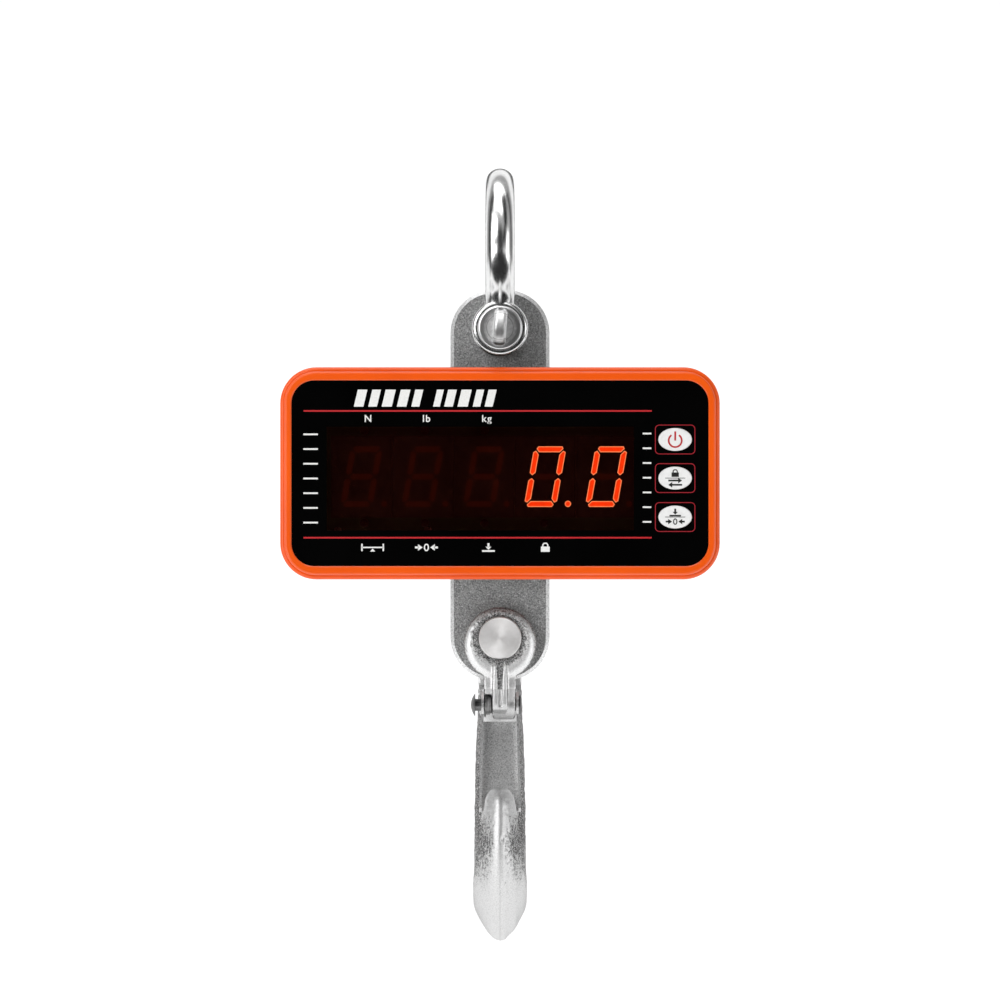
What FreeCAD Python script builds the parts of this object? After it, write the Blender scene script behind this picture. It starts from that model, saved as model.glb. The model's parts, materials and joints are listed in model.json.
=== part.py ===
"""Hanging crane scale: bow shackle, load cell plate, display housing and safety hook.

Millimetres, +Z up, the display faces -Y. The origin is the inner crown of the
shackle bow, where the scale is hung up.
"""
import FreeCAD
import Part
import math
import os

V = FreeCAD.Vector

TINY = 1e-6                # two places count as one within this
OVERLAP = 0.5              # pieces of one solid run this far into each other

# ---- housing ---------------------------------------------------------------
HOUSING_W = 145.0          # width of the display housing
HOUSING_H = 70.0           # height of the display housing
HOUSING_R = 12.0           # corner radius of the display housing
HOUSING_Z = -93.1          # middle of the housing below the hang point
FRONT_Y = -24.0            # front face of the bezel
REAR_Y = 20.0              # rear face of the housing
WALL = 2.5                 # housing wall
BEZEL_STEP = 1.5           # width of the step round the bezel
BEZEL_DEPTH = 1.9          # depth of the step round the bezel
BEZEL_T = 3.5              # bezel front to the inside of the shell
STEP_ROUND = 1.2
RIM_ROUND = 0.9
REAR_ROUND = 3.5
POCKET_CHAMFER = 0.35      # edge of the overlay pocket
SPLIT = 0.4                # half the thickness of the gasket
GASKET_INSET = 0.6
GASKET_W = 1.5
BOSS_R = 4.3
SCREW_R = 1.5
SCREW_HEAD_R = 2.8
SCREW_HEAD_Y = (REAR_Y - 2.2, REAR_Y - 0.4)
SCREW_TIP_Y = -13.0
SHELL_IN_FRONT = FRONT_Y + BEZEL_T
SHELL_IN_REAR = REAR_Y - WALL
SCREWS_XZ = [(x, z) for x in (-64.0, 64.0) for z in (-27.0, 27.0)]
LABEL_W = 46.0
LABEL_H = 24.0
LABEL_R = 2.0
LABEL_X = 36.0
LABEL_Z = HOUSING_Z - 14.0
LABEL_Y = (REAR_Y - 0.4, REAR_Y - 0.1)

# ---- shackle ---------------------------------------------------------------
BOW_WIRE = 9.7             # wire diameter of the shackle bow
BOW_INSIDE_R = 16.0        # inner radius of the bow
BOW_FLARE_R = 15.0         # bend from the bow into each leg
BOW_EAR_Y = 13.0           # middle of each shackle ear from the centre plane
BOW_EAR_R = 9.35           # radius of the shackle ears
BOW_EAR_HALF = 4.9         # half thickness of the shackle ears
BOW_EAR_ROUND = 1.6
BOW_FOOT = 2.0             # wire runs on into the ear, above the pin
SHACKLE_PIN_R = 5.0
UPPER_PIN_Z = HOUSING_Z + 48.1
PIN_END_CHAMFER = 0.8
COLLAR_R = 7.4
COLLAR_T = 2.6
COLLAR_ROUND = 0.9
DISH_R = 5.5
DISH_DEPTH = 0.9
TAB_R = 6.1                # half height of the thumb tab
TAB_HALF = 2.15            # half width of the thumb tab
TAB_ROUND = 1.4
TAB_OUT = 6.4              # middle of the tab in front of the ear
TAB_WEB = 5.0              # half height of the tab where it meets the collar
TAB_HOLE_R = 2.2
TAB_LEAN = 4.0             # degrees from upright, as the pin comes to rest

# ---- load cell -------------------------------------------------------------
CELL_W = 33.2              # width of the load cell plate
CELL_HALF = 7.0            # half thickness of the load cell plate
CELL_TOP_Z = HOUSING_Z + 61.6
CELL_BOTTOM_Z = HOUSING_Z - 69.2
CELL_R = 14.5              # corner radius of the plate
CELL_CHAMFER = 1.2
CELL_SCREW_X = (-9.5, 9.5)
CELL_SCREW_Z = HOUSING_Z + 21.0
CELL_SCREW_R = 2.0
CELL_HEAD_R = 3.5
CELL_HEAD_T = 2.2
HEAD_ROUND = 0.5           # edge of the screw heads
HEAD_SEAT_Y = REAR_Y - 2.4   # under the heads of the load cell screws
CELL_PAD_R = 4.5
HEX_R = 1.75
HEX_DEPTH = 1.5
GAUGE_R = 10.0             # pocket for the strain gauges
GAUGE_WEB = 2.0            # half thickness of the web between the pockets
GAUGE_X = 3.6
GAUGE_HALF = (1.6, 3.0)    # half width and half length of a gauge
GAUGE_T = 0.2
GAUGE_TURN = 45.0
GAUGE_COVER_T = 1.2
LEAD_R = 1.1
LEAD_BACK_Y = 12.0
LEAD_END_X = -26.0
LEAD_BEND = 3.5
SLOT_W = CELL_W + 2.4      # slot for the plate through the housing
SLOT_HALF = CELL_HALF + 1.2
SLOT_Z = (HOUSING_Z - 50.0, HOUSING_Z + 50.0)
SEAL_HALF = 0.9            # half height of a plate seal

# ---- display ---------------------------------------------------------------
PANEL_W = 137.2
PANEL_H = 61.1
PANEL_R = 7.5
PANEL_Y = -23.5            # front face of the overlay
PANEL_T = 0.8
WINDOW_X = (-58.0, 45.0)
WINDOW_Z = (-19.8, 16.3)   # from the middle of the housing
WINDOW_R = 1.0
WINDOW_LEDGE = 0.5
DIGIT_PITCH = 20.2
DIGIT_FIRST_X = -45.7
DIGIT_Z = -1.1             # middle of the digits from the middle of the housing
DIGIT_W = 10.7
DIGIT_H = 20.0
SEGMENT = 1.95             # width of a segment
SEGMENT_DEPTH = 0.6
SLANT = math.tan(math.radians(10.0))
POINT_R = 1.03             # decimal point
POINT_X = 7.5              # decimal point from the middle of its digit
LIT = [set(), set(), set(), set("abcdef") | {"point"}, set("abcdef")]
MODULE_W = 20.0
MODULE_H = 27.0
MODULE_Y = (-20.4, -11.3)
LAMP_R = 1.3
LAMP_ROUND = 0.9
LAMP_SUNK = 0.8            # lamp behind the face of the digit modules
LAMP_LOW_Z = -16.4
LAMP_HIGH_Z = 14.3
LAMP_X = (-45.0, -24.9, -5.2, 14.6)
KEY_X = 57.6
KEY_Z = (11.1, -1.6, -14.4)
KEY_A = 5.5                # half width of a key
KEY_B = 3.75               # half height of a key
KEY_GAP = 0.1
KEY_PROUD = 0.45           # key above the overlay
KEY_ROUND = 0.3
KEY_FLANGE = (0.9, 0.7)    # flange beyond the key, sideways and upwards
KEY_FLANGE_Y = (SHELL_IN_FRONT + 0.1, SHELL_IN_FRONT + 1.1)
KEY_STEM_R = 1.8
KEY_AIR = 0.45             # stem above its switch, at rest
SWITCH_TOP_Y = -16.4
SWITCH_HALF = 3.0
SWITCH_T = 3.6
SWITCH_R = 1.7

# ---- boards and battery ----------------------------------------------------
BOARD_Y = (-11.3, -9.7)    # display board
BOARD_X = (-58.5, 68.5)
BOARD_Z = (HOUSING_Z - 21.5, HOUSING_Z + 21.5)
MAIN_Y = (3.0, 4.6)        # main board
MAIN_X = (-66.0, -20.0)
SPACER_R = 2.4
SPACERS = [(x, HOUSING_Z + z) for x in (-54.0, -24.0) for z in (-19.0, 19.0)]
BOARD_SCREW_R = 1.25
BOARD_HEAD_R = 2.2
BOARD_HEAD_T = 1.6
HEADER_X = (-41.5, -36.5)
HEADER_Z = (HOUSING_Z - 9.0, HOUSING_Z + 9.0)
BATTERY_X = (21.0, 57.0)
BATTERY_Y = (6.5, 16.5)
BATTERY_Z = (HOUSING_Z - 25.0, HOUSING_Z + 25.0)
BATTERY_ROUND = 2.0
CLAMP_X = (32.0, 46.0)
CLAMP_T = 1.0
CLAMP_FOOT = 4.5
BATTERY_LEAD_R = 1.2
BATTERY_LEAD_Y = 11.5
BATTERY_LEAD_Z = HOUSING_Z - 12.0
BATTERY_LEAD_X = -28.0
BUZZER_X = -50.0
BUZZER_Z = HOUSING_Z + 6.0
BUZZER_R = 6.0
BUZZER_T = 8.0
BUZZER_HOLE = (1.0, 3.0)   # radius and depth
RECESS = (1.5, 0.35, 0.9)  # cross recess: reach, half width, depth
SMALL_RECESS = 1.1

# ---- charging port ---------------------------------------------------------
PORT_X = -46.0
PORT_Z = HOUSING_Z - 16.0
PORT_R = 4.0
JACK_Y = 9.0               # inner end of the socket
JACK_BORE = (2.75, 11.5)   # radius, and where the bore ends
JACK_FLANGE = (5.6, 12.5)  # radius, and where the flange starts
JACK_PIN = (1.0, 11.0)
COVER_HINGE_Z = PORT_Z + 7.6
COVER_R = 6.2
COVER_T = 1.8
COVER_ROUND = 0.6
COVER_GAP = 0.1
COVER_HALF = 2.5           # half width of the neck of the flap
COVER_TIP = (2.0, 7.6, 5.0)  # half width, lower and upper end of the finger tip
HINGE_R = 0.9
STRAP_STUD_R = 1.6
STRAP_BARB = (0.8, 1.2)
STRAP_Z = PORT_Z + 11.5
STRAP_T = 1.6
STRAP_HALF = 4.4
STRAP_CHEEK = 2.6          # inner side of a cheek

# ---- clevis ----------------------------------------------------------------
LOWER_PIN_Z = HOUSING_Z - 54.6
CLEVIS_PIN_R = 7.1
CLEVIS_PIN_PROUD = 0.4
CLEVIS_PIN_CHAMFER = 0.35
CLEVIS_GAP = 7.6           # half gap between the clevis ears
CLEVIS_OUT = 15.0          # outer face of the clevis ears from the centre plane
CLEVIS_R = 12.1            # radius of the clevis ears
CLEVIS_ROUND = 3.0
CLEVIS_DISH = (9.3, 7.0, 0.9)  # hollow round the pin: outer and inner radius, depth
CLEVIS_DROP = 2.1          # centre of the ear circle below the pin
CROTCH = 17.6              # bottom of the clevis gap below the pin
CROTCH_ROUND = 2.0
ROLL_R = 1.25              # roll pin that keeps the clevis pin
ROLL_WALL = 0.45
ROLL_SLOT = 0.25
ROLL_Y = 11.3
ROLL_BOTTOM_Z = LOWER_PIN_Z + 2.0
ROLL_TOP_Z = LOWER_PIN_Z + 9.4

# ---- hook ------------------------------------------------------------------
# Heights are below the middle of the housing.
NECK_HALF = 7.3
WEB_HALF = 5.3
NECK_BOSS_R = 5.0
RIB_OUT = 16.4             # front of the rib from the centre plane
RIB_BACK = -8.5
RIB_TOP = (2.1, -55.0)     # half width of the rib at its upper end, height of that end
RIB_END = (2.7, -77.6)     # the same at its lower end, where the round end starts
RIB_ROUND = 0.6
RIB_SIDE = [(-16.4, -55.0), (-16.4, -76.6), (-15.7, -78.4), (-14.0, -79.4), (-9.5, -80.4), (-8.5, -80.4),
            (-8.5, -55.0)]
GROOVE_TOP = (1.35, -58.0)  # groove in the front of the rib
GROOVE_END = (0.45, -77.4)
GROOVE_DEPTH = 0.9
# One row for each section of the hook, from the neck round to the tip: the
# point on the inner side (y, z), the point on the outer side (y, z) and the
# half width. Heights are below the middle of the housing.
HOOK_SECTIONS = [
    ((-2.0, -74.5), (13.5, -69.0), 7.3),
    ((1.5, -83.5), (20.0, -78.5), 7.8),
    ((9.6, -92.0), (28.0, -89.0), 8.3),
    ((15.3, -101.0), (33.2, -100.0), 8.7),
    ((17.3, -111.0), (35.6, -113.0), 8.9),
    ((16.2, -121.0), (34.8, -128.0), 9.0),
    ((12.3, -128.5), (28.8, -142.5), 9.0),
    ((6.4, -132.2), (16.5, -153.2), 9.0),
    ((0.0, -133.3), (0.0, -157.2), 9.0),
    ((-6.4, -132.2), (-15.0, -152.8), 9.0),
    ((-12.3, -128.5), (-26.0, -142.0), 8.9),
    ((-16.4, -121.5), (-31.0, -129.5), 7.9),
    ((-18.2, -114.5), (-32.0, -118.0), 6.5),
    ((-19.2, -109.0), (-31.0, -110.5), 5.5),
    ((-20.0, -105.6), (-29.6, -106.0), 4.6),
    ((-21.6, -103.9), (-27.6, -104.0), 3.2),
    ((-23.4, -103.25), (-25.6, -103.25), 1.2),
]
# Shape of a section: share of the way from inner to outer side, share of the half width.
SECTION_SHAPE = [(0.04, 0.46), (0.14, 0.80), (0.30, 0.97), (0.47, 1.0), (0.60, 0.90), (0.74, 0.70),
                 (0.88, 0.46), (0.97, 0.22)]

# ---- latch -----------------------------------------------------------------
LATCH_Y = -8.0             # latch pivot
LATCH_Z = HOUSING_Z - 77.3
LATCH_TILT = 20.5          # closed latch, degrees out from straight down
LATCH_SHEET = 0.8
LATCH_LENGTH = 36.0
LATCH_TOP_HALF = 6.2       # half width across the flanges at the pivot
LATCH_END_HALF = 6.9       # half width across the flanges at the free end
LATCH_EAR_R = 4.3
LATCH_WEB_START = 5.2      # top of the web below the pivot
FLANGE_BACK = -2.9         # flange from the pivot line, towards the throat
FLANGE_FRONT = 2.1         # flange from the pivot line, away from the throat
FLANGE = [(0, FLANGE_BACK), (0, FLANGE_FRONT), (LATCH_LENGTH, FLANGE_FRONT), (LATCH_LENGTH, FLANGE_BACK)]
RIVET_R = 2.0
DOME_R = 3.85
DOME_T = 1.4
DOME_X = -8.3              # flat side of the domed head
RIVET_END_R = 3.2
RIVET_END_X = (6.3, 6.9)
SPRING_WIRE = 0.6
SPRING_R = 3.25            # middle of the wire
SPRING_TURNS = 4
SPRING_PITCH = 0.62
SPRING_LEG = 13.0
SPRING_X = (-5.3, -2.8)
NOTCH_GAP = (0.4, 0.05)    # room beside the spring, left and right
NOTCH_DOWN = 8.0
NOTCH_OUT = 12.0
FIT = 0.05                 # radial clearance of a running fit

os.makedirs("parts", exist_ok=True)


# ---- helpers ---------------------------------------------------------------
def save(name, *solids):
    shape = solids[0] if len(solids) == 1 else Part.makeCompound(list(solids))
    shape.exportStep("parts/" + name + ".step")


def box(x, y, z):
    return Part.makeBox(x[1] - x[0], y[1] - y[0], z[1] - z[0], V(x[0], y[0], z[0]))


def rod(axis, radius, a, b, u=0.0, v=0.0):
    """Cylinder along an axis from a to b; u and v are its other two coordinates."""
    start = {"x": V(a, u, v), "y": V(u, a, v), "z": V(u, v, a)}[axis]
    along = {"x": V(1, 0, 0), "y": V(0, 1, 0), "z": V(0, 0, 1)}[axis]
    return Part.makeCylinder(radius, b - a, start, along)


def prism(points, along):
    """Extrusion of a closed polygon of 3-D points by a vector."""
    wire = Part.makePolygon(points + points[:1])
    return Part.Face(wire).extrude(along)


def round_rect(w, h, r, y0, y1, x=0.0, z=HOUSING_Z):
    """Rounded rectangle in the X-Z plane, extruded from y0 to y1."""
    a, b = w / 2, h / 2
    edges = []
    for turn, cx, cz in ((0, a - r, b - r), (90, r - a, b - r), (180, r - a, r - b), (270, a - r, r - b)):
        def on(angle):
            t = math.radians(turn + angle)
            return V(x + cx + r * math.cos(t), y0, z + cz + r * math.sin(t))
        edges.append(Part.Arc(on(0), on(45), on(90)))
    shapes = []
    for i, arc in enumerate(edges):
        shapes.append(arc.toShape())
        nxt = edges[(i + 1) % 4]
        if arc.EndPoint.distanceToPoint(nxt.StartPoint) > TINY:
            shapes.append(Part.LineSegment(arc.EndPoint, nxt.StartPoint).toShape())
    return Part.Face(Part.Wire(shapes)).extrude(V(0, y1 - y0, 0))


def oval(a, b, y0, y1, x, z):
    """Elliptic cylinder along Y."""
    ellipse = Part.Ellipse(V(x + a, y0, z), V(x, y0, z + b), V(x, y0, z))
    return Part.Face(Part.Wire(ellipse.toShape())).extrude(V(0, y1 - y0, 0))


def hexagon(radius, y0, y1, x, z):
    """Hexagonal prism along Y."""
    angles = [math.radians(60 * k) for k in range(6)]
    corners = [V(x + radius * math.cos(t), y0, z + radius * math.sin(t)) for t in angles]
    return prism(corners, V(0, y1 - y0, 0))


def fuse(first, *others):
    return first.multiFuse(list(others)).removeSplitter()


def edges_at(shape, test):
    """Edges whose every sampled point passes the test."""
    found = []
    for edge in shape.Edges:
        points = edge.discretize(5)
        if all(test(p) for p in points):
            found.append(edge)
    return found


def tube(points, bend, radius):
    """Round tube along straight runs joined by tangent arcs of one bend radius."""
    pts = [V(*p) for p in points]
    shapes = []
    at = pts[0]
    for i in range(1, len(pts) - 1):
        back = (pts[i - 1] - pts[i]).normalize()
        ahead = (pts[i + 1] - pts[i]).normalize()
        half = back.getAngle(ahead) / 2
        cut = bend / math.tan(half)
        middle = (back + ahead).normalize()
        crest = pts[i] + middle * (bend / math.sin(half) - bend)
        shapes.append(Part.LineSegment(at, pts[i] + back * cut).toShape())
        shapes.append(Part.Arc(pts[i] + back * cut, crest, pts[i] + ahead * cut).toShape())
        at = pts[i] + ahead * cut
    shapes.append(Part.LineSegment(at, pts[-1]).toShape())
    path = Part.Wire(shapes)
    ring = Part.Wire(Part.Circle(pts[0], pts[1] - pts[0], radius).toShape())
    return path.makePipeShell([ring], True, False)


# ---- shackle ---------------------------------------------------------------
def shackle_bow():
    """Round wire bent to an omega in the Y-Z plane, with a pin ear on each end."""
    r = BOW_WIRE / 2
    bow_r = BOW_INSIDE_R + r
    bow_z = -BOW_INSIDE_R
    flare_r = BOW_FLARE_R
    flare_y = BOW_EAR_Y + flare_r
    flare_z = bow_z - math.sqrt((bow_r + flare_r) ** 2 - flare_y ** 2)
    share = bow_r / (bow_r + flare_r)
    meet = V(0, flare_y * share, bow_z + (flare_z - bow_z) * share)
    turn = math.atan2(meet.z - flare_z, meet.y - flare_y)
    half = (turn + math.pi) / 2
    crest = V(0, flare_y + flare_r * math.cos(half), flare_z + flare_r * math.sin(half))
    low = V(0, BOW_EAR_Y, flare_z)
    foot = V(0, BOW_EAR_Y, UPPER_PIN_Z + BOW_FOOT)

    def other(p):
        return V(p.x, -p.y, p.z)

    path = Part.Wire([
        Part.LineSegment(foot, low).toShape(),
        Part.Arc(low, crest, meet).toShape(),
        Part.Arc(meet, V(0, 0, bow_z + bow_r), other(meet)).toShape(),
        Part.Arc(other(meet), other(crest), other(low)).toShape(),
        Part.LineSegment(other(low), other(foot)).toShape(),
    ])
    ring = Part.Wire(Part.Circle(foot, V(0, 0, 1), r).toShape())
    shape = path.makePipeShell([ring], True, True)
    for side in (-1, 1):
        middle = side * BOW_EAR_Y
        ear = rod("y", BOW_EAR_R, middle - BOW_EAR_HALF, middle + BOW_EAR_HALF, 0, UPPER_PIN_Z)
        rims = edges_at(ear, lambda p: abs(abs(p.y - middle) - BOW_EAR_HALF) < TINY)
        ear = ear.makeFillet(BOW_EAR_ROUND, rims)
        shape = fuse(shape, ear)
    return shape.cut(rod("y", SHACKLE_PIN_R, -40, 40, 0, UPPER_PIN_Z))


def shackle_pin():
    """Screw pin with a dished collar and an upright thumb tab with a lanyard hole."""
    ear_out = BOW_EAR_Y + BOW_EAR_HALF
    front = -ear_out - COLLAR_T
    shank = rod("y", SHACKLE_PIN_R, -ear_out - OVERLAP, ear_out + PIN_END_CHAMFER, 0, UPPER_PIN_Z)
    shank = shank.makeChamfer(PIN_END_CHAMFER, edges_at(shank, lambda p: p.y > ear_out))
    collar = rod("y", COLLAR_R, front, -ear_out, 0, UPPER_PIN_Z)
    collar = collar.makeFillet(COLLAR_ROUND, edges_at(collar, lambda p: p.y < front + TINY))
    dish = rod("y", DISH_R, front - 1, front + DISH_DEPTH, 0, UPPER_PIN_Z)
    tab_y = -ear_out - TAB_OUT
    tab = rod("x", TAB_R, -TAB_HALF, TAB_HALF, tab_y, UPPER_PIN_Z)
    tab = tab.makeFillet(TAB_ROUND, edges_at(tab, lambda p: abs(abs(p.x) - TAB_HALF) < TINY))
    root = rod("y", TAB_HALF, tab_y, -ear_out, 0, UPPER_PIN_Z)
    web_z = (UPPER_PIN_Z - TAB_WEB, UPPER_PIN_Z + TAB_WEB)
    web = box((-TAB_HALF, TAB_HALF), (tab_y, -ear_out - OVERLAP), web_z)
    tab = fuse(tab, root, web).cut(rod("x", TAB_HOLE_R, -5, 5, tab_y - OVERLAP, UPPER_PIN_Z))
    tab.rotate(V(0, 0, UPPER_PIN_Z), V(0, 1, 0), TAB_LEAN)
    return fuse(shank, collar.cut(dish), tab)


# ---- load cell -------------------------------------------------------------
def load_cell():
    """Thick steel plate with two pin holes and a gauge pocket in each face."""
    height = CELL_TOP_Z - CELL_BOTTOM_Z
    middle = (CELL_TOP_Z + CELL_BOTTOM_Z) / 2
    plate = round_rect(CELL_W, height, CELL_R, -CELL_HALF, CELL_HALF, 0, middle)
    plate = plate.makeChamfer(CELL_CHAMFER, edges_at(plate, lambda p: abs(abs(p.y) - CELL_HALF) < TINY))
    plate = plate.cut(rod("y", SHACKLE_PIN_R + FIT, -9, 9, 0, UPPER_PIN_Z))
    plate = plate.cut(rod("y", CLEVIS_PIN_R + FIT, -9, 9, 0, LOWER_PIN_Z))
    for y in ((-CELL_HALF, -GAUGE_WEB), (GAUGE_WEB, CELL_HALF)):
        plate = plate.cut(rod("y", GAUGE_R, y[0], y[1], 0, HOUSING_Z))
    for x in CELL_SCREW_X:
        plate = plate.cut(rod("y", CELL_SCREW_R, 0, 9, x, CELL_SCREW_Z))
    return plate


def strain_gauges():
    """Four foil gauges at 45 degrees on the web of the plate, two on each face."""
    gauges = []
    wide, long = GAUGE_HALF
    for y in (-GAUGE_WEB - GAUGE_T, GAUGE_WEB):
        for side in (-1, 1):
            x = side * GAUGE_X
            foil = box((x - wide, x + wide), (y, y + GAUGE_T), (HOUSING_Z - long, HOUSING_Z + long))
            foil.rotate(V(x, 0, HOUSING_Z), V(0, 1, 0), side * GAUGE_TURN)
            gauges.append(foil)
    return gauges


def gauge_covers():
    """Disc in the mouth of each gauge pocket; the rear one lets the lead out."""
    front = rod("y", GAUGE_R, -CELL_HALF, -CELL_HALF + GAUGE_COVER_T, 0, HOUSING_Z)
    rear = rod("y", GAUGE_R, CELL_HALF - GAUGE_COVER_T, CELL_HALF, 0, HOUSING_Z)
    return [front, rear.cut(rod("y", LEAD_R, 0, 9, 0, HOUSING_Z))]


def gauge_lead():
    x, y, z = LEAD_END_X, LEAD_BACK_Y, HOUSING_Z
    points = [(0, CELL_HALF - GAUGE_COVER_T, z), (0, y, z), (x, y, z), (x, MAIN_Y[1], z)]
    return tube(points, LEAD_BEND, LEAD_R)


# ---- housing ---------------------------------------------------------------
def plate_slot(shape):
    return shape.cut(box((-SLOT_W / 2, SLOT_W / 2), (-SLOT_HALF, SLOT_HALF), SLOT_Z))


def front_housing():
    """Front shell with a stepped bezel, a pocket for the overlay and four screw bosses."""
    body = round_rect(HOUSING_W, HOUSING_H, HOUSING_R, FRONT_Y + BEZEL_DEPTH, -SPLIT)
    body = body.makeFillet(STEP_ROUND, edges_at(body, lambda p: abs(p.y - FRONT_Y - BEZEL_DEPTH) < TINY))
    step = BEZEL_STEP
    rim = round_rect(HOUSING_W - 2 * step, HOUSING_H - 2 * step, HOUSING_R - step, FRONT_Y, SHELL_IN_FRONT)
    rim = rim.makeFillet(RIM_ROUND, edges_at(rim, lambda p: abs(p.y - FRONT_Y) < TINY))
    shell = fuse(body, rim)
    inner_r = HOUSING_R - WALL
    cavity = round_rect(HOUSING_W - 2 * WALL, HOUSING_H - 2 * WALL, inner_r, SHELL_IN_FRONT, 0)
    for x, z in SCREWS_XZ:
        cavity = cavity.cut(rod("y", BOSS_R, SHELL_IN_FRONT, 0, x, HOUSING_Z + z))
    shell = shell.cut(cavity)
    shell = shell.cut(round_rect(PANEL_W, PANEL_H, PANEL_R, FRONT_Y - 1, PANEL_Y + PANEL_T))
    shell = shell.makeChamfer(POCKET_CHAMFER, edges_at(shell, on_pocket_rim))
    wide = WINDOW_X[1] - WINDOW_X[0] - 2 * WINDOW_LEDGE
    tall = WINDOW_Z[1] - WINDOW_Z[0] - 2 * WINDOW_LEDGE
    mid_x = sum(WINDOW_X) / 2
    mid_z = HOUSING_Z + sum(WINDOW_Z) / 2
    shell = shell.cut(round_rect(wide, tall, WINDOW_R, FRONT_Y, 0, mid_x, mid_z))
    for z in KEY_Z:
        shell = shell.cut(oval(KEY_A + KEY_GAP, KEY_B + KEY_GAP, FRONT_Y, 0, KEY_X, HOUSING_Z + z))
    for x, z in SCREWS_XZ:
        shell = shell.cut(rod("y", SCREW_R, SCREW_TIP_Y - 1, 0, x, HOUSING_Z + z))
    return plate_slot(shell)


def on_pocket_rim(p):
    """True on the front edge of the overlay pocket."""
    inside = abs(p.x) < PANEL_W / 2 + 0.01 and abs(p.z - HOUSING_Z) < PANEL_H / 2 + 0.01
    return inside and abs(p.y - FRONT_Y) < TINY


def rear_housing():
    """Rear shell with screw bosses, pads for the load cell and a recess for the plate label."""
    body = round_rect(HOUSING_W, HOUSING_H, HOUSING_R, SPLIT, REAR_Y)
    body = body.makeFillet(REAR_ROUND, edges_at(body, lambda p: abs(p.y - REAR_Y) < TINY))
    inner_r = HOUSING_R - WALL
    cavity = round_rect(HOUSING_W - 2 * WALL, HOUSING_H - 2 * WALL, inner_r, 0, SHELL_IN_REAR)
    for x, z in SCREWS_XZ:
        cavity = cavity.cut(rod("y", BOSS_R, 0, SHELL_IN_REAR, x, HOUSING_Z + z))
    for x in CELL_SCREW_X:
        cavity = cavity.cut(rod("y", CELL_PAD_R, CELL_HALF, SHELL_IN_REAR, x, CELL_SCREW_Z))
    shell = body.cut(cavity)
    for x, z in SCREWS_XZ:
        shell = shell.cut(rod("y", SCREW_R, 0, REAR_Y, x, HOUSING_Z + z))
        shell = shell.cut(rod("y", SCREW_HEAD_R, SCREW_HEAD_Y[0], REAR_Y + 1, x, HOUSING_Z + z))
    for x in CELL_SCREW_X:
        shell = shell.cut(rod("y", CELL_SCREW_R, 0, REAR_Y, x, CELL_SCREW_Z))
        shell = shell.cut(rod("y", CELL_HEAD_R + KEY_GAP, HEAD_SEAT_Y, REAR_Y + 1, x, CELL_SCREW_Z))
    shell = shell.cut(rod("y", PORT_R, 0, REAR_Y + 1, PORT_X, PORT_Z))
    shell = shell.cut(rod("y", STRAP_STUD_R, 0, REAR_Y + 1, PORT_X, STRAP_Z))
    shell = shell.cut(round_rect(LABEL_W, LABEL_H, LABEL_R, LABEL_Y[0], REAR_Y + 1, LABEL_X, LABEL_Z))
    return plate_slot(shell)


def housing_gasket():
    """Flat seal in the split line, open where the load cell passes through."""
    inset = GASKET_INSET
    outer = round_rect(HOUSING_W - 2 * inset, HOUSING_H - 2 * inset, HOUSING_R - inset, -SPLIT, SPLIT)
    inside = inset + GASKET_W
    inner = round_rect(HOUSING_W - 2 * inside, HOUSING_H - 2 * inside, HOUSING_R - inside, -SPLIT, SPLIT)
    half = SLOT_W / 2
    return outer.cut(inner).cut(box((-half, half), (-1, 1), SLOT_Z))


def plate_seals():
    """Rubber collar round the load cell in the upper and the lower slot."""
    seals = []
    for side in (1, -1):
        z = HOUSING_Z + side * (HOUSING_H / 2 - WALL / 2 - (WALL / 2 - SEAL_HALF) / 2)
        ring = box((-SLOT_W / 2, SLOT_W / 2), (-SLOT_HALF, SLOT_HALF), (z - SEAL_HALF, z + SEAL_HALF))
        ring = ring.cut(box((-CELL_W / 2, CELL_W / 2), (-CELL_HALF, CELL_HALF), (z - 2, z + 2)))
        seals.append(fuse(ring, *cell_corner_fill(z)))
    return seals


def cell_corner_fill(z):
    """Wedges that fill the chamfered corners of the plate inside a seal."""
    wedges = []
    for sx in (-1, 1):
        for sy in (-1, 1):
            corner = V(sx * CELL_W / 2, sy * CELL_HALF, z - SEAL_HALF)
            across = V(sx * (CELL_W / 2 - CELL_CHAMFER), sy * CELL_HALF, z - SEAL_HALF)
            along = V(sx * CELL_W / 2, sy * (CELL_HALF - CELL_CHAMFER), z - SEAL_HALF)
            wedges.append(prism([corner, across, along], V(0, 0, 2 * SEAL_HALF)))
    return wedges


def housing_screws():
    screws = []
    for x, z in SCREWS_XZ:
        head = rod("y", SCREW_HEAD_R, SCREW_HEAD_Y[0], SCREW_HEAD_Y[1], x, HOUSING_Z + z)
        head = head.makeFillet(HEAD_ROUND, edges_at(head, lambda p: p.y > SCREW_HEAD_Y[1] - TINY))
        screw = fuse(head, rod("y", SCREW_R, SCREW_TIP_Y, SCREW_HEAD_Y[0] + OVERLAP, x, HOUSING_Z + z))
        screws.append(cross_recess(screw, x, HOUSING_Z + z, SCREW_HEAD_Y[1], RECESS[0]))
    return screws


def cross_recess(screw, x, z, top, reach):
    """Cross recess in a screw head that faces +Y."""
    half, depth = RECESS[1:]
    for w, h in ((reach, half), (half, reach)):
        screw = screw.cut(box((x - w, x + w), (top - depth, top + 1), (z - h, z + h)))
    return screw


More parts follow.
